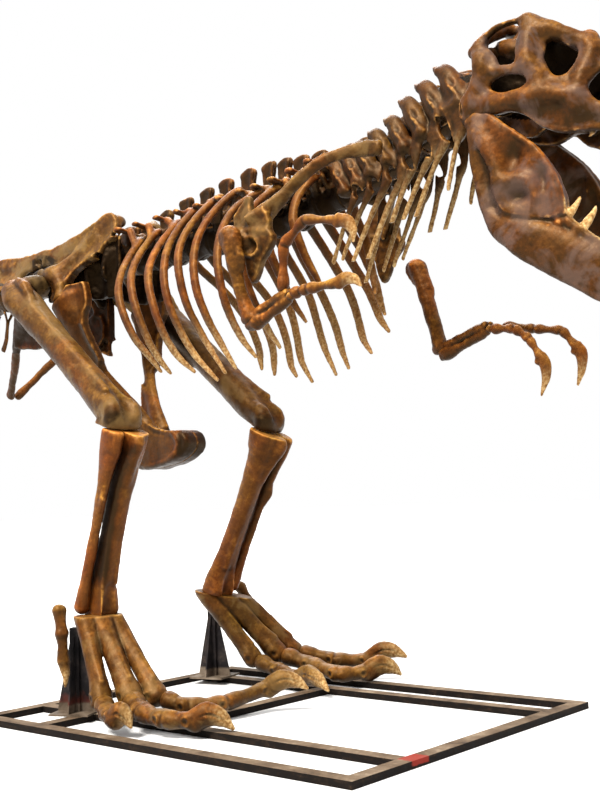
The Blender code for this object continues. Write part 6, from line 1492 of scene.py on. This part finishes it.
BROWN = [(0.0, (0.0020, 0.0007, 0.0001)), (0.22, (0.0089, 0.0026, 0.0005)), (0.42, (0.0348, 0.0101, 0.0014)), (0.58, (0.0720, 0.0223, 0.0030)), (0.76, (0.1756, 0.0639, 0.0097)), (1.0, (0.4425, 0.1987, 0.0357))]
OLIVE = [(0.0, (0.0024, 0.0008, 0.0001)), (0.22, (0.0097, 0.0032, 0.0005)), (0.42, (0.0346, 0.0115, 0.0018)), (0.58, (0.0698, 0.0262, 0.0042)), (0.76, (0.1640, 0.0705, 0.0127)), (1.0, (0.3949, 0.2003, 0.0421))]
DARK = [(0.0, (0.0014, 0.0005, 0.0002)), (0.26, (0.0062, 0.0021, 0.0004)), (0.48, (0.0237, 0.0077, 0.0013)), (0.66, (0.0590, 0.0210, 0.0034)), (0.84, (0.1668, 0.0707, 0.0117)), (1.0, (0.4035, 0.1924, 0.0382))]
RED = [(0.0, (0.0026, 0.0007, 0.0002)), (0.24, (0.0121, 0.0030, 0.0006)), (0.45, (0.0466, 0.0118, 0.0018)), (0.62, (0.0912, 0.0273, 0.0040)), (0.80, (0.2056, 0.0777, 0.0133)), (1.0, (0.4964, 0.2309, 0.0477))]
# painted mauve sheen for the skull and jaw
MAUVE_SHEEN = (0.088, 0.058, 0.050)
TAN = (0.135, 0.078, 0.026)
MATS = {}


def mats():
    MATS["leg"] = bone_mat("bone_leg", OLIVE, 1.0, 0.03, TAN, 0.65, 2.6)
    MATS["shin"] = bone_mat("bone_shin", RED, 3.0, 0.22, gold=0.6)
    MATS["hip"] = bone_mat("bone_hip", OLIVE, 5.0, 0.10, TAN, 0.75, 4.0, gold=0.5)
    MATS["pelvic"] = bone_mat("bone_pelvic", BROWN, 9.0, 0.04)
    MATS["spine"] = bone_mat("bone_spine", DARK, 13.0, 0.04, gold=0.75)
    MATS["rib"] = bone_mat("bone_rib", RED, 17.0, 0.09, gold=0.7)
    MATS["neck"] = bone_mat("bone_neck", DARK, 21.0, 0.0, gold=0.8)
    MATS["shoulder"] = bone_mat("bone_shoulder", OLIVE, 25.0, 0.04, TAN, 0.55, 4.0)
    MATS["arm"] = bone_mat("bone_arm", BROWN, 29.0, 0.10)
    MATS["finger"] = bone_mat("bone_finger", RED, 33.0, 0.16)
    MATS["skull"] = bone_mat("bone_skull", BROWN, 37.0, 0.03, MAUVE_SHEEN, 0.50, 5.0, gold=0.80, inner=0.16, tint=[(0.34, (0.95, 1.05, 0.80)), (0.50, (1.0, 1.0, 0.90)), (0.66, (1.08, 0.92, 0.78))])
    MATS["jaw"] = bone_mat("bone_jaw", BROWN, 41.0, 0.04, MAUVE_SHEEN, 0.50, 4.0, gold=0.75, inner=0.18)
    MATS["foot"] = bone_mat("bone_foot", OLIVE, 45.0, 0.01, TAN, 0.5, 6.0)
    # darker copy of the bone finish: painted shade for interiors and gaps
    MATS["painted_shade_core"] = bone_mat("bone_painted_shade_core", DARK, 53.0, -0.46, gold=0.1, spec=0.12)
    MATS["shade"] = bone_mat("bone_shade", RED, 61.0, -0.22, gold=0.3, spec=0.15)
    MATS["tail"] = bone_mat("bone_tail", BROWN, 49.0, 0.0)


def teeth_into(M_from, name):
    """The same bone with ivory teeth, claws or rib tips, held in the point layer called tip."""
    m = M_from.copy()
    m.name = name
    nt = m.node_tree
    b = next(n for n in nt.nodes if n.type == "BSDF_PRINCIPLED")
    src = b.inputs["Base Color"].links[0].from_socket
    a = nt.nodes.new("ShaderNodeAttribute")
    a.attribute_name = "tip"
    tc = nt.nodes.new("ShaderNodeTexCoord")
    nz = nt.nodes.new("ShaderNodeTexNoise")
    nz.inputs["Scale"].default_value = 60
    nz.inputs["Detail"].default_value = 5
    nt.links.new(tc.outputs["Object"], nz.inputs["Vector"])
    r = ramp(nt, [(0.30, (0.13, 0.060, 0.017)), (0.48, (0.33, 0.185, 0.066)), (0.66, (0.56, 0.39, 0.180))])
    nt.links.new(nz.outputs["Fac"], r.inputs[0])
    mx = nt.nodes.new("ShaderNodeMix")
    mx.data_type = "RGBA"
    nt.links.new(a.outputs["Fac"], mx.inputs[0])
    nt.links.new(src, mx.inputs[6])
    nt.links.new(r.outputs[0], mx.inputs[7])
    nt.links.new(mx.outputs[2], b.inputs["Base Color"])
    return m


def rail_mat():
    M = Mat("rail_paint")
    g = M.nt.nodes.new("ShaderNodeNewGeometry")
    sep = M.nt.nodes.new("ShaderNodeSeparateXYZ")
    M.link(g.outputs["Normal"], sep.inputs[0])
    # painted light: faces turned up take the lighter top ramp, the sides painted shade from the dark ramp
    up = M.span(sep.outputs["Z"], 0.4, 0.8)
    n1 = M.noise(5, 6, 0.6, 0.5, w=2)
    n2 = M.noise(40, 6, 0.7, 0.3, w=5)
    n3 = M.noise(9, 5, 0.6, 1.0, stretch=(0.5, 0.5, 3.0), w=9)
    top = ramp(M.nt, [(0.28, (0.040, 0.024, 0.013)), (0.46, (0.100, 0.066, 0.040)), (0.60, (0.150, 0.106, 0.068)), (0.76, (0.26, 0.20, 0.140))])
    M.link(M.math("MULTIPLY_ADD", M.math("SUBTRACT", n2, 0.5), 0.6, n1), top.inputs[0])
    side = ramp(M.nt, [(0.30, (0.004, 0.003, 0.0025)), (0.52, (0.006, 0.0040, 0.003)), (0.70, (0.018, 0.011, 0.007)), (0.86, (0.09, 0.055, 0.032))])
    M.link(M.math("MULTIPLY_ADD", M.math("SUBTRACT", n3, 0.5), 0.7, n2), side.inputs[0])
    col = M.mix(up, side.outputs[0], top.outputs[0])
    M.link(col, M.b.inputs["Base Color"])
    M.link(M.span(n2, 0.3, 0.7, 0.55, 0.85), M.b.inputs["Roughness"])
    M.b.inputs["Specular IOR Level"].default_value = 0.08
    M.link(M.bump(n2, 0.0012, 0.8), M.b.inputs["Normal"])
    return M


def red_patch(M, centre, size):
    """A rubbed red paint mark around a place on a rail."""
    sep = M.nt.nodes.new("ShaderNodeSeparateXYZ")
    M.link(M.co, sep.inputs[0])
    d = None
    for i, ax in enumerate("XYZ"):
        t = M.math("ABSOLUTE", M.math("DIVIDE", M.math("SUBTRACT", sep.outputs[ax], float(centre[i])), float(size[i])))
        d = t if d is None else M.math("MAXIMUM", d, t)
    nz = M.noise(28, 5, 0.7, w=12)
    k = M.span(M.math("MULTIPLY_ADD", nz, 0.8, d), 1.45, 1.25)
    src = M.b.inputs["Base Color"].links[0].from_socket
    M.link(M.mix(M.math("MULTIPLY", k, 0.85), src, (0.22, 0.020, 0.012)), M.b.inputs["Base Color"])


def post_mat(name, primer):
    M = Mat(name)
    n1 = M.noise(7, 6, 0.6, 0.4, w=4)
    n2 = M.noise(60, 5, 0.7, 0.2, w=8)
    r = ramp(M.nt, [(0.30, (0.005, 0.0045, 0.005)), (0.52, (0.014, 0.012, 0.0125)), (0.68, (0.036, 0.028, 0.025)), (0.82, (0.13, 0.085, 0.055))])
    M.link(M.math("MULTIPLY_ADD", M.math("SUBTRACT", n2, 0.5), 0.5, n1), r.inputs[0])
    sep = M.nt.nodes.new("ShaderNodeSeparateXYZ")
    M.link(M.co, sep.inputs[0])
    low = M.span(sep.outputs["Z"], SHIFT[2] + 0.115, SHIFT[2] + 0.098)
    base = ramp(M.nt, [(0.3, (0.05, 0.035, 0.023)), (0.5, (0.115, 0.085, 0.06)), (0.7, (0.20, 0.16, 0.12))])
    M.link(n1, base.inputs[0])
    col = M.mix(low, r.outputs[0], base.outputs[0])
    if primer:
        k = M.span(M.math("MULTIPLY_ADD", M.noise(14, 4, 0.6, w=17), 0.2, sep.outputs["Z"]), SHIFT[2] + 0.27, SHIFT[2] + 0.21)
        k = M.math("MULTIPLY", k, M.math("SUBTRACT", 1.0, low))
        col = M.mix(M.math("MULTIPLY", k, 0.8), col, (0.085, 0.020, 0.012))
    M.link(col, M.b.inputs["Base Color"])
    M.link(M.span(n2, 0.3, 0.7, 0.40, 0.70), M.b.inputs["Roughness"])
    M.b.inputs["Specular IOR Level"].default_value = 0.08
    M.link(M.bump(n2, 0.0010, 0.7), M.b.inputs["Normal"])
    return M.m


RED_RAIL = "rail_front"
RED_AT = SHIFT + np.array([2.806, -0.685, 0.038])
POST = {"post_left": post_mat("post_steel", False), "post_right": post_mat("post_steel_primed", True)}



# ------------------------------------------------------------------ putting it together
def tip_layer(ob, fn, name="tip"):
    me = ob.data
    co = np.empty(len(me.vertices) * 3, F32)
    me.vertices.foreach_get("co", co)
    v = fn(co.reshape(-1, 3).astype(float) - SHIFT).astype(F32)
    a = me.attributes.new(name, "FLOAT", "POINT")
    a.data.foreach_set("value", v)


def emit(F, node, mat, tip=None, second=None, shade=None):
    ob = mesh_of(F, "vis_" + node, SHIFT)
    if shade is not None:
        tip_layer(ob, shade, "shade")
    if tip is not None:
        tip_layer(ob, tip)
    ob.data.materials.append(MATS[mat])
    if second:                                 # other finishes on parts of the piece, among them darker copies that paint shade
        me = ob.data
        c = np.empty(len(me.polygons) * 3, F32)
        me.polygons.foreach_get("center", c)
        c = c.reshape(-1, 3).astype(float) - SHIFT
        idx = np.zeros(len(c), np.int32)
        for i, (key, where) in enumerate(second):
            ob.data.materials.append(MATS[key])
            idx[where(c)] = i + 1
        me.polygons.foreach_set("material_index", idx)
    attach(ob, "root")
    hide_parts(node)
    return ob


def step(v, a, b):
    t = np.clip((v - a) / (b - a), 0, 1)
    return t * t * (3 - 2 * t)


def skull_tip(P):
    q = P - SK0
    a, h = q @ SX, q @ SZ
    return step(-h, 0.050, 0.075) * step(a, 0.70, 0.72)


def jaw_tip(P):
    x = P[:, 0]
    lim = np.interp(x, [3.48, 3.56, 3.66, 3.78, 3.90, 4.0], [2.745, 2.655, 2.565, 2.475, 2.385, 2.31])
    return step(P[:, 2] - lim, 0.0, 0.02) * step(x, 3.492, 3.500)


def soft(P, c, r):
    return np.exp(-(((P - vec(c)) / vec(r)) ** 2).sum(axis=1))


def rib_tip(s):
    top = 2.52 if s < 0 else 3.05
    return lambda P: (step(-P[:, 2], -top, -2.18) * (0.65 if s < 0 else 0.55)) * step(np.abs(P[:, 1]), 0.2, 0.3)


def neck_tip(P):
    z = np.interp(P[:, 0], *LZ)
    d = z - P[:, 2]
    return (step(d, 0.19, 0.36) * 0.34 + step(d, 0.30, 0.62) * 0.40) * step(np.abs(P[:, 1]), 0.135, 0.165)


def blade_painted_shade(P):
    """Painted shade in the ragged hollows of the hip blade and below its lower edge."""
    x, z = P[:, 0], P[:, 2]
    x = x + 0.012 * np.sin(z * 61) + 0.008 * np.sin(z * 137)
    a = np.interp(x, [-1.12, -1.0, -0.85, -0.75, -0.62, -0.58], [3.13, 3.165, 3.215, 3.20, 3.12, 3.08])
    b = np.interp(x, [-1.12, -1.0, -0.92, -0.82, -0.70, -0.58], [3.11, 3.04, 2.995, 2.99, 3.05, 3.08])
    h = step(x, -1.14, -1.09) * step(-x, 0.56, 0.61) * step(a - z, -0.015, 0.015) * step(z - b, -0.015, 0.015)
    low = np.interp(x, [-1.6, -1.05, -0.84, -0.57, -0.46, -0.3, 0.1], [3.02, 2.99, 2.93, 2.90, 2.80, 2.7, 2.7])
    return np.maximum(h, 0.7 * step(low - z, -0.03, 0.02))


def claw_tip(x0, y0, r0, r1):
    return lambda P: step(np.hypot(P[:, 0] - x0, P[:, 1] - y0), r0, r1)


mats()
for k, src in (("neck_t", "neck"), ("skull_t", "skull"), ("jaw_t", "jaw"), ("foot_t", "foot"), ("rib_t", "rib"), ("finger_t", "finger")):
    MATS[k] = teeth_into(MATS[src], "bone_" + k)

for k in range(1, 6):
    emit(tail_node(k), "tail_%d" % k, "tail")
# the sacrum's sides below its top take the painted-shade copy of the finish
emit(sacrum(), "sacrum", "spine", None, [("painted_shade_core", lambda P: (np.abs(P[:, 1]) > 0.10) & (P[:, 2] < 3.21))])

for s in (-1, 1):
    emit(ilium(s), "ilium_" + NM[s], "hip", None, None, blade_painted_shade)
    # painted shade on the lower front end of the boot
    emit(pubis(s), "pubis_" + NM[s], "pelvic", None, None, lambda P: 0.6 * step(P[:, 0], 0.42, 0.45) * step(-P[:, 2], -1.90, -1.82))
    emit(ischium(s), "ischium_" + NM[s], "shade", None, [("pelvic", lambda P: P[:, 2] < 2.52)])
    # painted shade on the femoral head and neck inside the hips, and in the hollow above the knee
    emit(femur(s), "femur_" + NM[s], "leg", None, None,
         lambda P, s=s: step(-np.abs(P[:, 1]), -0.54, -0.48) + 0.85 * soft(P, vec(LEG[s]["knee"]) + vec((0.0, -0.085, 0.04)), (0.10, 0.09, 0.055)))
    T, B = shin(s)
    L = LEG[s]
    m0 = (vec(L["fib"]) + vec(L["knee"])) / 2 + vec((0, s * 0.008, 0))
    m1 = (vec(L["fibend"]) + vec(L["ankle"])) / 2
    gp = unit(np.cross(m1 - m0, (1, 0, 0)))
    # painted shade along the gap between tibia and fibula
    slit = lambda P, a=m0, n=gp: 1.0 * np.exp(-(((P - a) @ n) / 0.024) ** 2) * step(-P[:, 2], -1.80, -1.66) * step(P[:, 2], 0.78, 0.95)
    emit(T, "tibia_" + NM[s], "shin", None, None, slit)
    emit(B, "fibula_" + NM[s], "shin", None, None, slit)
    sd = unit(vec(L["ankle"]) - vec(L["knee"]))
    emit(metatarsus(s, vec(L["ankle"]) + sd * 0.045, unit(sd + vec((0.25, 0, 0)))), "metatarsus_" + NM[s], "foot")
    for i in range(3):
        js = [vec(j) for j in FOOT[s]["toes"][i]]
        j2, j3 = js[2], js[3]
        emit(toe(s, i), "toe_%s_%d" % (NM[s], i + 2), "foot_t",
             lambda P, a=j2, b=j3: step((P - a) @ unit(b - a) / np.linalg.norm(b - a), 0.35, 1.0) * 0.8)
    emit(hallux(s), "hallux_" + NM[s], "foot_t", lambda P, z=FOOT[s]["hal"][2][2]: step(z - P[:, 2], 0.02, 0.10) * 0.7)
    # the vertebral bodies low between the rib rows take the painted-shade copy of the finish
    emit(ribcage(s), "ribcage_" + NM[s], "rib_t", rib_tip(s),
         [("spine", lambda P: (np.abs(P[:, 1]) < 0.15) & (P[:, 2] > 2.93)), ("painted_shade_core", lambda P: (np.abs(P[:, 1]) < 0.15) & (P[:, 2] < 3.17 + 0.06 * np.clip(P[:, 0] - 1.0, 0, 1)))])
    emit(scapula(s), "scapula_" + NM[s], "shoulder")
    emit(humerus(s), "humerus_" + NM[s], "arm")
    emit(forearm(s), "forearm_" + NM[s], "arm")
    for w, nm in (("fa", "inner"), ("fb", "outer")):
        f = ARM[s][w]
        a, b = vec((f[-2][0], s * f[-2][1], f[-2][2])), vec((f[-1][0], s * f[-1][1], f[-1][2]))
        emit(finger(s, w), "finger_%s_%s" % (nm, NM[s]), "finger_t", lambda P, a=a, b=b: step((P - a) @ unit(b - a) / np.linalg.norm(b - a), 0.1, 0.9) * 0.7)
    emit(jaw(s), "jaw_" + NM[s], "jaw_t", jaw_tip)
LZ = (np.linspace(1.8, 3.2, 57), np.array([line_z(x) for x in np.linspace(1.8, 3.2, 57)]))


# vertebral bodies between the neck wings take painted shade
def neck_painted_shade(P):
    z = np.interp(P[:, 0], *LZ)
    return (np.abs(P[:, 1]) < 0.112) & (P[:, 2] < z + 0.10) & (P[:, 2] > z - 0.085) & (P[:, 0] < 2.88)


for k in range(3):
    emit(neck(k), "neck_%d" % (k + 1), "neck_t", neck_tip, [("painted_shade_core", neck_painted_shade)])


# painted shade inside the head and on the palate wings behind the cheek window
def skull_painted_shade(P):
    q = P - SK0
    a, h, y = q @ SX, q @ SZ, np.abs(q[:, 1])
    top = np.interp(a, RA, RH) - 0.075
    knob = (a < 0.12) & (h > 0.345) & (q[:, 1] < -0.045)
    return ((y < 0.115) & (h < top) & (h > 0.05) & (a > -0.04) & (a < 0.72) & ~knob) | ((y < 0.215) & (h > 0.0) & (h < 0.25) & (a < 0.36) & (a > 0.0))


emit(skull(), "skull", "skull_t", skull_tip, [("painted_shade_core", skull_painted_shade)])

# ------------------------------------------------------------------ steel base
RAILS = rail_mat()
FRONT = rail_mat()
FRONT.m.name = "rail_paint_front"
red_patch(FRONT, RED_AT, (0.2, 0.075, 0.026))
for o in list(bpy.data.objects):
    if o.type != "MESH":
        continue
    n = o.name
    if n.startswith("rail"):
        o.data.materials.clear()
        o.data.materials.append((FRONT if n == RED_RAIL else RAILS).m)
        bv = o.modifiers.new("soft_edges", "BEVEL")
        bv.width, bv.segments, bv.limit_method = 0.0035, 2, "ANGLE"
    elif n.startswith("post"):
        o.data.materials.clear()
        o.data.materials.append(POST[n] if n in POST else POST["post_left"])
        bv = o.modifiers.new("soft_edges", "BEVEL")
        bv.width, bv.segments, bv.limit_method = 0.0025, 2, "ANGLE"

# ------------------------------------------------------------------ stage, light, camera
me = bpy.data.meshes.new("floor")
bm = bmesh.new()
bmesh.ops.create_grid(bm, x_segments=4, y_segments=4, size=60)
bm.to_mesh(me)
bm.free()
floor = bpy.data.objects.new("floor", me)
bpy.context.scene.collection.objects.link(floor)
floor.location = (SHIFT[0], SHIFT[1], SHIFT[2] - 0.001)
FM = Mat("floor_pale")
fr = ramp(FM.nt, [(0.0, (0.70, 0.70, 0.70)), (1.0, (0.73, 0.73, 0.73))])
FM.link(FM.noise(1.2, 2), fr.inputs[0])
FM.link(fr.outputs[0], FM.b.inputs["Base Color"])
FM.b.inputs["Roughness"].default_value = 0.8
floor.data.materials.append(FM.m)

w = bpy.data.worlds.new("studio")
bpy.context.scene.world = w
w.use_nodes = True
bg = next(n for n in w.node_tree.nodes if n.type == "BACKGROUND")
bg.inputs[0].default_value = (1.0, 1.0, 1.0, 1)
bg.inputs[1].default_value = 1.0


def sun(name, toward, angle, power, colour):
    d = bpy.data.lights.new(name, "SUN")
    d.angle = math.radians(angle)
    d.energy = power
    d.color = colour
    o = bpy.data.objects.new(name, d)
    bpy.context.scene.collection.objects.link(o)
    o.location = Vector(SHIFT) + Vector(toward) * 8
    o.rotation_euler = (-Vector(toward)).to_track_quat("-Z", "Y").to_euler()


sun("key", (0.03, -0.57, 0.75), 20, 7.2, (1.0, 0.965, 0.91))
sun("rim", (-0.6, 0.5, 0.8), 30, 1.5, (1.0, 0.98, 0.96))

CAM_F, YAW, PIT, ROL = 1173.55, math.radians(41.0938), math.radians(4.3578), math.radians(-2.1305)
Fd = vec((-math.sin(YAW) * math.cos(PIT), math.cos(YAW) * math.cos(PIT), math.sin(PIT)))
R0 = unit(np.cross(Fd, (0, 0, 1)))
U0 = np.cross(R0, Fd)
R2 = R0 * math.cos(ROL) + U0 * math.sin(ROL)
U2 = -R0 * math.sin(ROL) + U0 * math.cos(ROL)
cam = bpy.data.cameras.new("camera")
cam.sensor_width, cam.sensor_fit = 36.0, "AUTO"
cam.lens = CAM_F * 36.0 / 800.0
cam.clip_end = 500
co = bpy.data.objects.new("camera", cam)
bpy.context.scene.collection.objects.link(co)
pos = vec((4.49 * 1.4, -3.957 * 1.4, 1.4)) + SHIFT
co.matrix_world = Matrix([[R2[i], U2[i], -Fd[i], pos[i]] for i in range(3)] + [[0, 0, 0, 1]])
bpy.context.scene.camera = co
vsn = bpy.context.scene.view_settings
vsn.view_transform = "Standard"
vsn.look = "None"
vsn.exposure = 0.0
